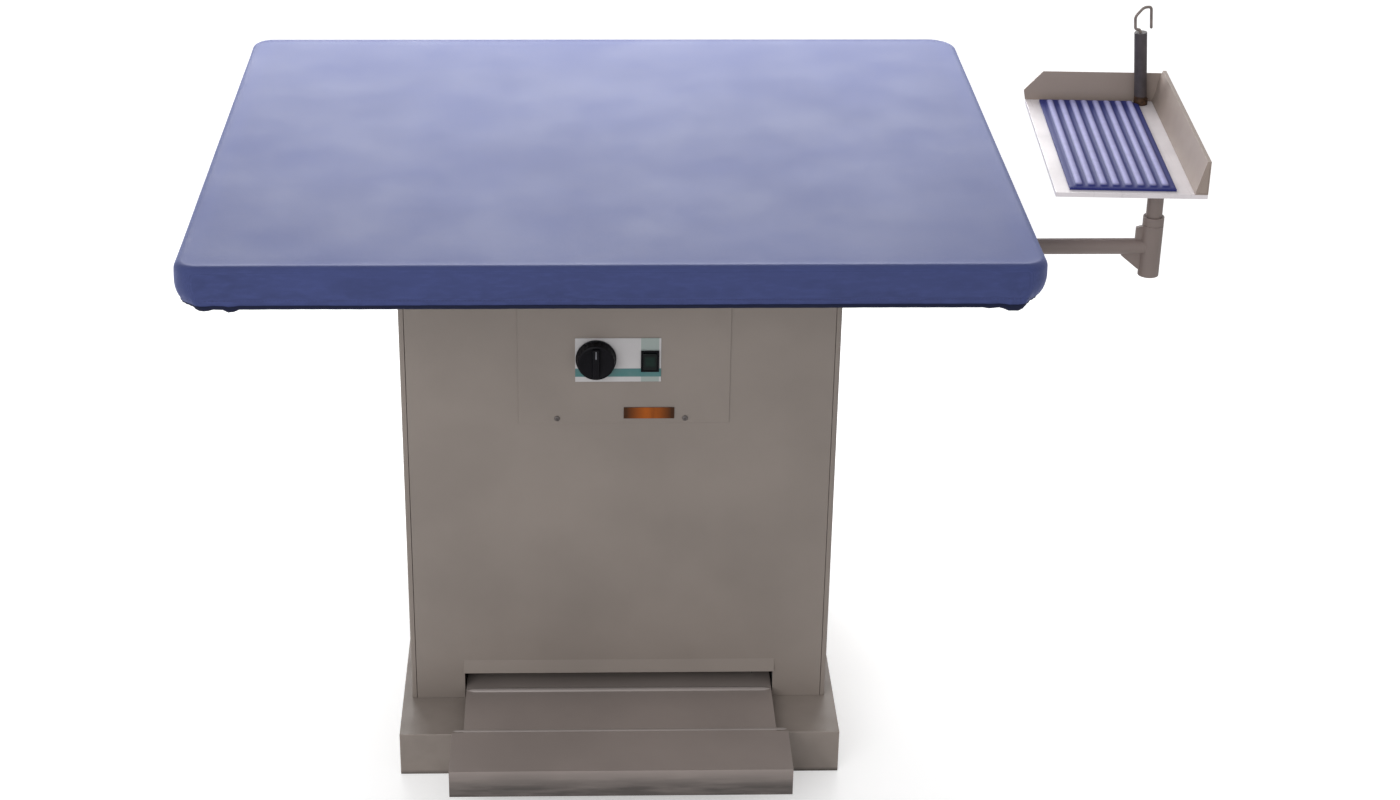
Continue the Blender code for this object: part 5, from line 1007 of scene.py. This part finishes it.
def make_mat():
    """Ribbed silicone mat, with round ribs inside a plain rim, and notched round the cord holder's nut."""
    low, high = local_box("rest_mat", tray_frame)
    width, depth, height = high - low
    pitch = (width - 2 * MAT_RIM) / MAT_RIBS
    rib_end = MAT_RIM + pitch * 0.5
    stops = [0.0, MAT_RIM * 0.5]
    for rib in range(MAT_RIBS):
        stops += [MAT_RIM + pitch * (rib + step / MAT_STEPS_RIB) for step in range(MAT_STEPS_RIB)]
    stops += [width - MAT_RIM, width - MAT_RIM * 0.5, width]
    ends = [0.0, MAT_RIM * 0.5]
    ends += [MAT_RIM + pitch * 0.5 * step / MAT_STEPS_END for step in range(MAT_STEPS_END)]
    ends += [rib_end + (depth - 2 * rib_end) * step / MAT_STEPS_ALONG for step in range(MAT_STEPS_ALONG + 1)]
    ends += [depth - MAT_RIM - pitch * 0.5 * step / MAT_STEPS_END
             for step in range(MAT_STEPS_END - 1, -1, -1)]
    ends += [depth - MAT_RIM * 0.5, depth]
    shape = bmesh.new()
    rows = []
    for along in ends:
        row = []
        for across in stops:
            rise = mat_height(across, along, width, depth, height)
            if min(across, along, width - across, depth - along) <= 0:
                rise -= MAT_EDGE_DROP
            row.append(shape.verts.new((low.x + across, low.y + along, low.z + rise)))
        rows.append(row)
    for first, second in zip(rows, rows[1:]):
        bridge(shape, first, second, closed=False)
    border = [edge for edge in shape.edges if edge.is_boundary]
    sides = bmesh.ops.extrude_edge_only(shape, edges=border)
    for item in sides["geom"]:
        if isinstance(item, bmesh.types.BMVert):
            item.co.z = low.z
    bmesh.ops.holes_fill(shape, edges=[edge for edge in shape.edges if edge.is_boundary], sides=0)
    bmesh.ops.transform(shape, matrix=tray_frame, verts=shape.verts)
    finish = ribbed_silicone("mat_silicone", low.z + MAT_FLOOR + HIGHLIGHT_RISE, low.z + height - HIGHLIGHT_FULL_DROP)
    made = fresh("rest_mat_ribbed", shape, finish, "rest_tray", 50)
    notch = bmesh.new()
    bmesh.ops.create_cone(notch, cap_ends=True, segments=40, radius1=NOTCH_RADIUS, radius2=NOTCH_RADIUS,
                          depth=NOTCH_DEPTH, matrix=tray_frame @ Matrix.Translation((NUT_X, NUT_Y, low.z)))
    carve(made, notch)
    filling(made, "rest_mat")


# The knob and the switch's button

KNOB_FLUTES = 24
FLUTE_DEPTH = 0.0007
FLUTE_LOW = 0.25             # the flutes run between these shares of the knob's height
FLUTE_HIGH = 0.9
FLUTE_FROM = 0.9             # and outside this share of its radius
KNOB_STEPS = 96
# The knob's side and face: shares of its radius and of its height over the label
KNOB_PROFILE = ((0.0, 0.0), (0.93, 0.0), (1.0, 0.03), (1.0, 0.22), (0.965, 0.26), (0.955, 0.30), (0.93, 0.82),
                (0.90, 0.94), (0.84, 1.0), (0.78, 1.0), (0.72, 0.94), (0.30, 0.93), (0.0, 0.93))
GRIP_WIDTH = 0.012
GRIP_HEIGHT = 0.004
GRIP_SUNK = 0.0016
GRIP_LENGTH_SHARE = 1.56     # of the knob's radius, like the pointer's two shares
GRIP_TAPER = 0.72
GRIP_ROUND = 0.0013
POINTER_WIDTH = 0.0022
POINTER_DEPTH = 0.0005
POINTER_OUT = 0.0002
POINTER_PLACE_SHARE = 0.50
POINTER_LENGTH_SHARE = 0.42


def knob_ring(shape, axis, radius, front, share, rise):
    """One ring of the knob's profile, or the point in its middle, with flutes along the side."""
    y = label_low.y - GAP + front * rise
    if not share:
        return [shape.verts.new((axis.x, y, axis.z))]
    ring = []
    for turn in turns(KNOB_STEPS):
        fluted = FLUTE_LOW < rise < FLUTE_HIGH and share > FLUTE_FROM
        flute = max(0.0, math.cos(turn * KNOB_FLUTES)) ** 2 * FLUTE_DEPTH if fluted else 0
        reach = radius * share - flute
        ring.append(shape.verts.new((axis.x + reach * math.cos(turn), y, axis.z + reach * math.sin(turn))))
    return ring


def make_knob():
    """Round knob with a fluted side, a dished face and a bar to turn it by, and its pointer line."""
    axis = Vector(joints["knob_turn"]["pos_m"])
    low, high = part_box("thermostat_knob")
    radius = (high.x - low.x) / 2
    face = low.y + GRIP_HEIGHT
    front = face - (label_low.y - GAP)
    shape = bmesh.new()
    rings = [knob_ring(shape, axis, radius, front, share, rise) for share, rise in KNOB_PROFILE]
    for first, second in zip(rings, rings[1:]):
        for step in range(KNOB_STEPS):
            beside = (step + 1) % KNOB_STEPS
            corners = [first[step % len(first)], first[beside % len(first)],
                       second[beside % len(second)], second[step % len(second)]]
            shape.faces.new(list(dict.fromkeys(corners)))
    bar_depth = face - low.y + GRIP_SUNK
    made = block(shape, (axis.x, low.y + bar_depth / 2, axis.z),
                 (GRIP_WIDTH, bar_depth, radius * GRIP_LENGTH_SHARE))
    bar = list({edge for vertex in made["verts"] for edge in vertex.link_edges})
    for vertex in made["verts"]:
        if vertex.co.y < face:
            vertex.co.x = axis.x + (vertex.co.x - axis.x) * GRIP_TAPER
    bevel(shape, bar, GRIP_ROUND, 3)
    finish = moulded("knob_black", PLASTIC_BLACK, 0.38, 0.00003, BLACK_GLOSS)
    filling(fresh("thermostat_knob_dial", shape, finish, "knob", 35), "thermostat_knob")

    mark = bmesh.new()
    block(mark, (axis.x, low.y + POINTER_OUT, axis.z + radius * POINTER_PLACE_SHARE),
          (POINTER_WIDTH, POINTER_DEPTH, radius * POINTER_LENGTH_SHARE))
    bevel(mark, mark.edges[:], POINTER_OUT, 1)
    grey_mark = moulded("pointer_grey", POINTER_GREY, 0.5, 0.00002)
    filling(fresh("thermostat_knob_pointer", mark, grey_mark, "knob"))


ROCKER_STEPS = 24
ROCKER_DISH = 0.00165
ROCKER_COLUMNS = (-1, -0.5, 0, 0.5, 1)
ROCKER_ROUND = 0.0008
WINDOW_HALF_X = 0.0088
WINDOW_HALF_Z = 0.0092


def make_rocker():
    """The switch's button, with a face dished towards its middle."""
    low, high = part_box("rocker_button")
    middle = (low + high) / 2
    half = (high - low) / 2
    shape = bmesh.new()
    front, back = [], []
    for step in range(ROCKER_STEPS + 1):
        rise = -1 + 2 * step / ROCKER_STEPS
        z = middle.z + rise * half.z
        for rows, y in ((front, low.y + ROCKER_DISH * (1 - rise * rise)), (back, high.y)):
            rows.append([shape.verts.new((middle.x + side * half.x, y, z)) for side in ROCKER_COLUMNS])
    last = len(ROCKER_COLUMNS) - 1
    for rows, order in ((front, 1), (back, -1)):
        for first, second in zip(rows, rows[1:]):
            for index in range(last):
                shape.faces.new([first[index], first[index + 1], second[index + 1], second[index]][::order])
    for step in range(ROCKER_STEPS):
        for index in (0, last):
            shape.faces.new((front[step][index], front[step + 1][index], back[step + 1][index],
                             back[step][index]))
    for row in (0, ROCKER_STEPS):
        bridge(shape, front[row], back[row], closed=False)
    finish = lit_button("switch_green", SWITCH_GREEN, WINDOW_GREEN, middle, WINDOW_HALF_X, WINDOW_HALF_Z)
    made = fresh("rocker_button_cap", shape, finish, "rocker")
    edges_rounded(made, ROCKER_ROUND, 2, 50)
    made.data.shade_smooth()
    filling(made, "rocker_button")


# Screws

SCREW_STEPS = 32
RECESS_WIDTH = 0.0009
RECESS_DEPTH = 0.0012
RECESS_LENGTH_SHARE = 1.1    # of the head's radius
DOME_ROWS = 6
SCREW_FOOT = ((0.97, 0.0), (1.0, 0.12))      # the head's rim: shares of its radius and rise
DOME_FOOT = 0.2              # the dome starts at this share of the rise


def screw_head(name, place, out, radius, rise, turned, node=None):
    """Domed head with a cross recess, whose flat lies at a place and whose dome points out."""
    shape = bmesh.new()
    profile = [(radius * reach, rise * height) for reach, height in SCREW_FOOT]
    for step in range(DOME_ROWS):
        turn = math.pi / 2 * step / DOME_ROWS
        profile.append((radius * math.cos(turn), rise * (DOME_FOOT + (1 - DOME_FOOT) * math.sin(turn))))
    rings = [[shape.verts.new((reach * math.cos(turn), reach * math.sin(turn), height))
              for turn in turns(SCREW_STEPS)] for reach, height in profile]
    for first, second in zip(rings, rings[1:]):
        bridge(shape, first, second)
    shape.faces.new(rings[-1])
    shape.faces.new(rings[0][::-1])
    matrix = out.to_track_quat("Z", "Y").to_matrix().to_4x4()
    matrix.translation = place
    matrix = matrix @ Matrix.Rotation(turned, 4, "Z")
    bmesh.ops.transform(shape, matrix=matrix, verts=shape.verts)
    head = fresh(name, shape, screw_steel, "table", 35)
    for quarter in (0, math.pi / 2):
        slot = bmesh.new()
        block(slot, (0, 0, rise), (radius * RECESS_LENGTH_SHARE, RECESS_WIDTH, RECESS_DEPTH * 2),
              matrix @ Matrix.Rotation(quarter, 4, "Z"))
        carve(head, slot)
    smoothed(head.data, 35)
    filling(head, node)


# Small painted pieces

RIDGE_STEPS = 8
RIDGE_CAP_STEPS = 4
RIDGE_TIP_SHARE = 0.04


def make_ridge(name, half, y, width, height):
    """A low rounded bead pressed in the pedal's plate along X, running out at both ends."""
    shape = bmesh.new()
    shares = [math.cos(math.pi / 2 * (1 - step / RIDGE_CAP_STEPS)) for step in range(RIDGE_CAP_STEPS + 1)]
    ends = [(-half + width * share, max(RIDGE_TIP_SHARE, share)) for share in shares]
    arc = [math.pi * step / RIDGE_STEPS for step in range(RIDGE_STEPS + 1)]
    rows = [[shape.verts.new((x, y + width / 2 * size * math.cos(turn),
                              PLATE_TOP + height * size * math.sin(turn))) for turn in arc]
            for x, size in ends + [(-x, size) for x, size in reversed(ends)]]
    for first, second in zip(rows, rows[1:]):
        bridge(shape, first, second)
    shape.faces.new(rows[0])
    shape.faces.new(rows[-1][::-1])
    filling(fresh(name, shape, bead_highlight_paint, "pedal", 60))


def bar_along_x(name, section, start, end, width, finish, body, matrix=Matrix()):
    """A bar with a section of (y, z) points, from one x to another, with its edges rounded."""
    shape = bmesh.new()
    sides = [[shape.verts.new((x, y, z)) for y, z in section] for x in (start, end)]
    bridge(shape, *sides)
    shape.faces.new(sides[0])
    shape.faces.new(sides[1][::-1])
    bevel(shape, shape.edges[:], width, 2)
    bmesh.ops.transform(shape, matrix=matrix, verts=shape.verts)
    bar = fresh(name, shape, finish, body, 46)
    steady_normals(bar.data)
    filling(bar)


# Wire pieces

LOOP_WIRE = 0.002
# The loop's way up, over and down, as (x, z) in its column's leaning frame
LOOP_ROUTE = ((0, 0.0863), (0, 0.106), (-0.002, 0.1103), (-0.0055, 0.1103), (-0.0075, 0.1123),
              (-0.0075, 0.1276), (-0.0055, 0.1316), (0.0025, 0.140), (0.0065, 0.142), (0.0125, 0.142),
              (0.0145, 0.140), (0.0145, 0.1103))
HOLDER_TILT = math.radians(-5.0)
HOLDER_FOOT = 0.9003
BEND_STEPS = 6
BEND_REACH = 0.0022
SPRING_RADIUS = 0.006
SPRING_WIRE = 0.0008
SPRING_TURNS = 8
SPRING_TAIL = 0.012
SPRING_STEPS = 24
SPRING_IN_SHARE = 0.15       # how far out the coil starts and ends, as a share of its radius
SPRING_LEAD_SHARE = 0.6      # the straight ends stop this share of the radius short of the coil
DOME_TURNS = (0.35, 0.8, 1.2, math.pi / 2)


def rounded_route(points):
    """The same route with each corner drawn as a smooth bend."""
    points = [Vector(point) for point in points]
    route = [points[0]]
    for before, corner, after in zip(points, points[1:], points[2:]):
        start, end = [corner + way.normalized() * min(BEND_REACH, way.length * 0.49)
                      for way in (before - corner, after - corner)]
        for step in range(BEND_STEPS + 1):
            share = step / BEND_STEPS
            route.append(start.lerp(corner, share).lerp(corner.lerp(end, share), share))
    return route + [points[-1]]


def wire(name, route, radius, finish, body, sides=16, domed=True):
    """Round wire along a route, with its ends rounded where they show."""
    shape = bmesh.new()
    ways = [(after - before).normalized()
            for before, after in zip([route[0]] + route[:-1], route[1:] + [route[-1]])]
    across = ways[0].orthogonal().normalized()
    spans = [(point, way, radius) for point, way in zip(route, ways)]
    if domed:
        dome = [(radius * (1 - math.cos(turn)), radius * math.sin(turn)) for turn in DOME_TURNS]
        first = [(route[0] + ways[0] * inset, ways[0], size) for inset, size in dome]
        last = [(route[-1] - ways[-1] * inset, ways[-1], size) for inset, size in reversed(dome)]
        spans = first + spans[1:-1] + last
    rings = []
    for point, way, size in spans:
        across = (across - way * across.dot(way)).normalized()
        other = way.cross(across)
        rings.append([shape.verts.new(point + size * (across * math.cos(turn) + other * math.sin(turn)))
                      for turn in turns(sides)])
    for first, second in zip(rings, rings[1:]):
        bridge(shape, first, second)
    shape.faces.new(rings[0][::-1])
    shape.faces.new(rings[-1])
    return fresh(name, shape, finish, body, 70)


def make_loop(finish):
    """The cord holder's wire loop, in the leaning frame of its column."""
    foot = tray_frame @ Matrix.Translation((NUT_X, NUT_Y, HOLDER_FOOT))
    holder = foot @ Matrix.Rotation(HOLDER_TILT, 4, "Y")
    route = [holder @ point for point in rounded_route([(x, 0, z) for x, z in LOOP_ROUTE])]
    filling(wire("holder_loop_wire", route, LOOP_WIRE, finish, "holder_loop"), "holder_loop")


def make_spring(finish):
    """The pedal's return spring: a close coil with straight ends."""
    low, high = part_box("pedal_return_spring")
    middle = (low + high) / 2
    coil_low, coil_high = low.z + SPRING_TAIL, high.z - SPRING_TAIL
    route = []
    count = SPRING_TURNS * SPRING_STEPS
    for step in range(count + 1):
        share = step / count
        turn = 2 * math.pi * SPRING_TURNS * share
        reach = SPRING_RADIUS * min(1, share * SPRING_TURNS * 2 + SPRING_IN_SHARE,
                                    (1 - share) * SPRING_TURNS * 2 + SPRING_IN_SHARE)
        route.append(Vector((middle.x + reach * math.cos(turn), middle.y + reach * math.sin(turn),
                             coil_low + (coil_high - coil_low) * share)))
    tails = [Vector((middle.x, middle.y, z))
             for z in (low.z, coil_low - SPRING_RADIUS * SPRING_LEAD_SHARE,
                       coil_high + SPRING_RADIUS * SPRING_LEAD_SHARE, high.z)]
    route = tails[:2] + route + tails[2:]
    made = wire("pedal_return_spring_coil", route, SPRING_WIRE, finish, None, 8, False)
    filling(made, "pedal_return_spring")
    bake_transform(made)


# Finishes

paint = powder_coat("taupe_coat", TAUPE)
# the base's paint: dust and painted light low down, and painted shade at its foot
paint_low = powder_coat("taupe_coat_low", TAUPE, 0.50, 0.6, BASE_FOOT_SHADE)
# the cabinet's taupe paint, paler as painted light, for the tray's guard
lit_paint = powder_coat("lit_taupe_coat", TAUPE_LIT)
deep_paint = powder_coat("dark_taupe_coat", TAUPE_DEEP)
# painted light on the pedal's plate, and painted shade down its lip
pedal_light_and_shade_paint = powder_coat("pedal_light_and_shade_coat", PEDAL_TAUPE_LIT, 0.42, 0.0, PEDAL_LIP_SHADE)
# painted highlight on the pedal's beads
bead_highlight_paint = powder_coat("bead_highlight_coat", BEAD_HIGHLIGHT_TAUPE, 0.36)
zinc = zinc_sheet("zinc_sheet_finish")
steel = brushed("drawn_steel", STEEL_GREY, 0.28)
turned_steel = brushed("turned_steel", STEEL_GREY, 0.24, (900.0, 900.0, 40.0))
screw_steel = moulded("blackened_screw", SCREW_GREY, 0.42)
heater = brushed("heater_sheath", HEATER_BROWN, 0.48)
copper = brushed("copper_tube", COPPER_RED, 0.30)
cast = cast_metal("cast_aluminium", CAST_GREY)
black = moulded("black_moulding", PLASTIC_BLACK, 0.42, gloss=BLACK_GLOSS)
column_black = column_finish("column_black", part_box("holder_column")[0].z + NUT_HEIGHT)
grey = moulded("grey_moulding", GREY_MOULDED, 0.48)
buffer_rubber = rubber("buffer_rubber", RUBBER_BLACK)
white = enamel("tray_enamel", ENAMEL_WHITE)

# The table's top

cover, cover_spots = make_cover()
stitching = make_stitching(cover_spots)
hem_shade = make_hem_shade(cover_spots)
make_vacuum_box(cover_spots, zinc)
pad = make_pad()

# Painted, moulded and printed pieces: the width of the rounded edges, finish, body, slot and nodes

HEAVY_EDGE = 0.0014
SHEET_EDGE = 0.0006
FINE_EDGE = 0.0004
BADGE_MIDDLE = 0.040
BADGE_HALF = 0.035
FIELD_LOW = 0.028            # the greyer field round the switch, in X
FIELD_HIGH = 0.0535
FITTED = (
    (HEAVY_EDGE, paint_low, "table", "taupe_paint", "base_plinth"),
    (SHEET_EDGE, paint, "table", "taupe_paint", "cabinet_left_side", "cabinet_right_side", "front_panel",
     "rear_panel", "table_bracket_left", "table_bracket_right"),
    (FINE_EDGE, paint, "table", "taupe_paint", "control_panel", "rest_socket"),
    (FINE_EDGE, deep_paint, "table", "dark_taupe", "exhaust_grille"),
    (FINE_EDGE, black, "table", "black_plastic", "cable_gland", "switch_body"),
    (FINE_EDGE, black, "socket_clamp", "black_plastic", "socket_clamp_knob"),
    (FINE_EDGE, black, "sleeve_clamp", "black_plastic", "sleeve_clamp_knob"),
    (FINE_EDGE, printed_badge("badge_print", BADGE_MIDDLE, BADGE_HALF), "table", "orange", "badge_plate"),
    (FINE_EDGE, printed_label("label_print", FIELD_LOW, FIELD_HIGH), "table", "label_white", "label_plate"),
    (SHEET_EDGE, pedal_light_and_shade_paint, "pedal", "dark_taupe", "pedal"),
    (SHEET_EDGE, deep_paint, "rest_arm", "dark_taupe", "rest_arm"),
    (SHEET_EDGE, deep_paint, "rest_swivel", "dark_taupe", "rest_collar"),
    (FINE_EDGE, deep_paint, "rest_tray", "dark_taupe", "rest_post"),
    (SHEET_EDGE, white, "rest_tray", "white_paint", "rest_tray"),
    (FINE_EDGE, lit_paint, "rest_tray", "taupe_paint", "rest_guard"),
    (FINE_EDGE, column_black, "rest_tray", "black_plastic", "holder_column"),
)
for width, finish, body, slot, *fitted_nodes in FITTED:
    for node in fitted_nodes:
        refined(node, width, finish, body)

# Pressed beads on the pedal, the lip over its slot, and the end of the guard's flared wall

RIDGE_Y = -0.2235
RIDGE_WIDTH = 0.009
RIDGE_HEIGHT = 0.0030
STEP_WIDTH = 0.005
STEP_HEIGHT = 0.0009
PLATE_TOP = 0.085
NECK_HALF = 0.2215
STEP_BACK = -0.332
LIP_HALF = 0.2262
LIP_LOW = 0.1117
LIP_HIGH = 0.1325
LIP_OUT = 0.0036
LIP_ROUND = 0.0004
GUARD_END_THICKNESS = 0.0012
GUARD_END_ROUND = 0.0003
GUARD_END = ((0.0268, 0.9016), (0.0386, 0.9016), (0.0386, 0.9405))      # its corners in the tray's frame

pedal_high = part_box("pedal")[1]
make_ridge("pedal_bead", NECK_HALF, RIDGE_Y, RIDGE_WIDTH, RIDGE_HEIGHT)
make_ridge("pedal_step", pedal_high.x - STEP_WIDTH / 4, STEP_BACK + STEP_WIDTH, STEP_WIDTH, STEP_HEIGHT)
lip_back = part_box("front_panel")[0].y
lip_section = ((lip_back, LIP_LOW), (lip_back - LIP_OUT, LIP_LOW + LIP_ROUND), (lip_back, LIP_HIGH))
bar_along_x("slot_lip", lip_section, -LIP_HALF, LIP_HALF, LIP_ROUND, paint, "table")
guard_start = local_box("rest_guard", tray_frame)[0].y + GAP
bar_along_x("rest_guard_end", [(-x, z) for x, z in GUARD_END], guard_start, guard_start + GUARD_END_THICKNESS,
            GUARD_END_ROUND, lit_paint, "rest_tray", tray_frame @ Matrix.Rotation(math.pi / 2, 4, "Z"))

make_knob()
make_rocker()
make_mat()
make_loop(moulded("wire_coat", WIRE_TAUPE, 0.45))
make_spring(turned_steel)

CONTROL_SCREW_RISE = 0.0024
CONTROL_SCREW_RADIUS = 0.004
for side, turned in (("left", 0.5), ("right", 1.1)):
    low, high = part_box("control_screw_" + side)
    middle = (low + high) / 2
    screw_head("control_screw_head_" + side, Vector((middle.x, low.y + CONTROL_SCREW_RISE, middle.z)),
               Vector((0, -1, 0)), CONTROL_SCREW_RADIUS, CONTROL_SCREW_RISE, turned, "control_screw_" + side)

REAR_SCREW_INSET = 0.011
REAR_SCREW_RADIUS = 0.0042
REAR_SCREW_RISE = 0.0020
REAR_SCREW_TURN = 0.7
rear_low, rear_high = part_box("rear_panel")
for column, x in enumerate((rear_low.x + REAR_SCREW_INSET, rear_high.x - REAR_SCREW_INSET)):
    for row in range(4):
        z = rear_low.z + REAR_SCREW_INSET + (rear_high.z - rear_low.z - 2 * REAR_SCREW_INSET) * row / 3
        screw_head(f"rear_screw_{column}_{row}", Vector((x, rear_high.y, z)), Vector((0, 1, 0)),
                   REAR_SCREW_RADIUS, REAR_SCREW_RISE, REAR_SCREW_TURN * (row + 1) + column)

# What is inside the cabinet and under the top

repaint(zinc, "box_rib_front", "box_rib_rear", "perforated_plate", "floor_plate", "fan_shelf", "relay_box",
        "pedal_bracket_left", "pedal_bracket_right", "exhaust_duct")
repaint(cast, "suction_duct", "valve_housing", "fan_housing", "fan_cover", "impeller")
repaint(steel, "pedal_shaft", "motor_shaft", "valve_flap", "valve_link_rod")
repaint(heater, "heating_element")
repaint(copper, "thermostat_bulb")
repaint(grey, "thermostat_body", "motor_body")
repaint(black, "microswitch_body", "microswitch_plunger")
repaint(buffer_rubber, "fan_buffer_front_left", "fan_buffer_front_right", "fan_buffer_rear")

# Camera

camera_data = bpy.data.cameras.new("photo_camera")
camera_data.lens = LENS_MM
camera_data.sensor_width = SENSOR_MM
camera_data.sensor_fit = "HORIZONTAL"
camera_data.shift_x = (PHOTO_WIDTH / 2 - PHOTO_AXIS_X) / PHOTO_WIDTH
camera_data.shift_y = (PHOTO_AXIS_Y - PHOTO_HEIGHT / 2) / PHOTO_WIDTH
camera_data.clip_start = 0.05
camera_data.clip_end = 100
camera = placed("photo_camera", camera_data)
level_right = Vector((math.cos(CAMERA_YAW), math.sin(CAMERA_YAW), 0))
level_ahead = Vector((-math.sin(CAMERA_YAW), math.cos(CAMERA_YAW), 0))
ahead = level_ahead * math.cos(CAMERA_TILT) - Vector((0, 0, math.sin(CAMERA_TILT)))
up = level_right.cross(ahead)
rolled_right = level_right * math.cos(CAMERA_ROLL) - up * math.sin(CAMERA_ROLL)
rolled_up = level_right * math.sin(CAMERA_ROLL) + up * math.cos(CAMERA_ROLL)
turned_to = Matrix((rolled_right, rolled_up, -ahead)).transposed().to_4x4()
camera.matrix_world = Matrix.Translation(CAMERA_PLACE) @ turned_to
bpy.context.scene.camera = camera

# Floor, world and lamps

FLOOR_HALF = 30.0
FLOOR_PALE = (244, 244, 244)
FLOOR_GLOW = 0.38
FLOOR_FAR_GLOW = 0.62
FLOOR_NEAR = 1.2
FLOOR_FAR = 2.4
WORLD_LIGHT = 0.52
WHITE = (1, 1, 1, 1)
# Each lamp's name, place, target, size and power
LAMPS = (("back_softbox", (-0.05, 1.3, 1.38), (-0.05, 0.2, 0.85), (1.8, 1.0), 31),
         ("front_softbox", (-1.5, -3.1, 2.0), (0, 0, 0.45), (2.4, 2.0), 40))


def make_floor():
    """Pale floor, which glows a little more from one distance from the part to another."""
    shape = bmesh.new()
    bmesh.ops.create_grid(shape, x_segments=1, y_segments=1, size=FLOOR_HALF)
    mesh = as_mesh("floor", shape)
    floor = placed("floor", mesh)
    surface = Surface("floor_paper", FLOOR_PALE, 0.9)
    reach = surface.node("ShaderNodeVectorMath", "Value", {0: surface.place}, operation="LENGTH")
    far = surface.level(reach, FLOOR_NEAR, FLOOR_FAR, FLOOR_GLOW, FLOOR_FAR_GLOW)
    seen = surface.node("ShaderNodeLightPath", "Is Camera Ray")
    surface.set(Emission_Strength=surface.times(seen, far), Emission_Color=WHITE)
    mesh.materials.append(surface.material)


def make_world():
    """White surroundings, dimmer for the light that they cast than for what is seen of them."""
    world = bpy.data.worlds.new("studio")
    bpy.context.scene.world = world
    world.use_nodes = True
    tree = world.node_tree
    rays = tree.nodes.new("ShaderNodeLightPath").outputs
    seen = rays["Is Camera Ray"]
    for kind in ("Is Glossy Ray", "Is Transmission Ray"):
        seen = add_node(tree, "ShaderNodeMath", "Value", {0: seen, 1: rays[kind]}, operation="MAXIMUM")
    strength = {"Value": seen, "To Min": WORLD_LIGHT, "To Max": 1.0}
    background = tree.nodes["Background"].inputs
    join(tree, background["Color"], WHITE)
    join(tree, background["Strength"], add_node(tree, "ShaderNodeMapRange", "Result", strength))


def make_lamp(name, place, target, size, power):
    """A softbox at a place, pointed at a target."""
    lamp = bpy.data.lights.new(name, "AREA")
    lamp.shape = "RECTANGLE"
    lamp.size, lamp.size_y = size
    lamp.energy = power
    obj = placed(name, lamp)
    obj.location = place
    obj.rotation_euler = (Vector(target) - Vector(place)).to_track_quat("-Z", "Y").to_euler()
    obj.visible_camera = False


make_floor()
make_world()
for lamp in LAMPS:
    make_lamp(*lamp)

bpy.context.scene.view_settings.view_transform = "Standard"
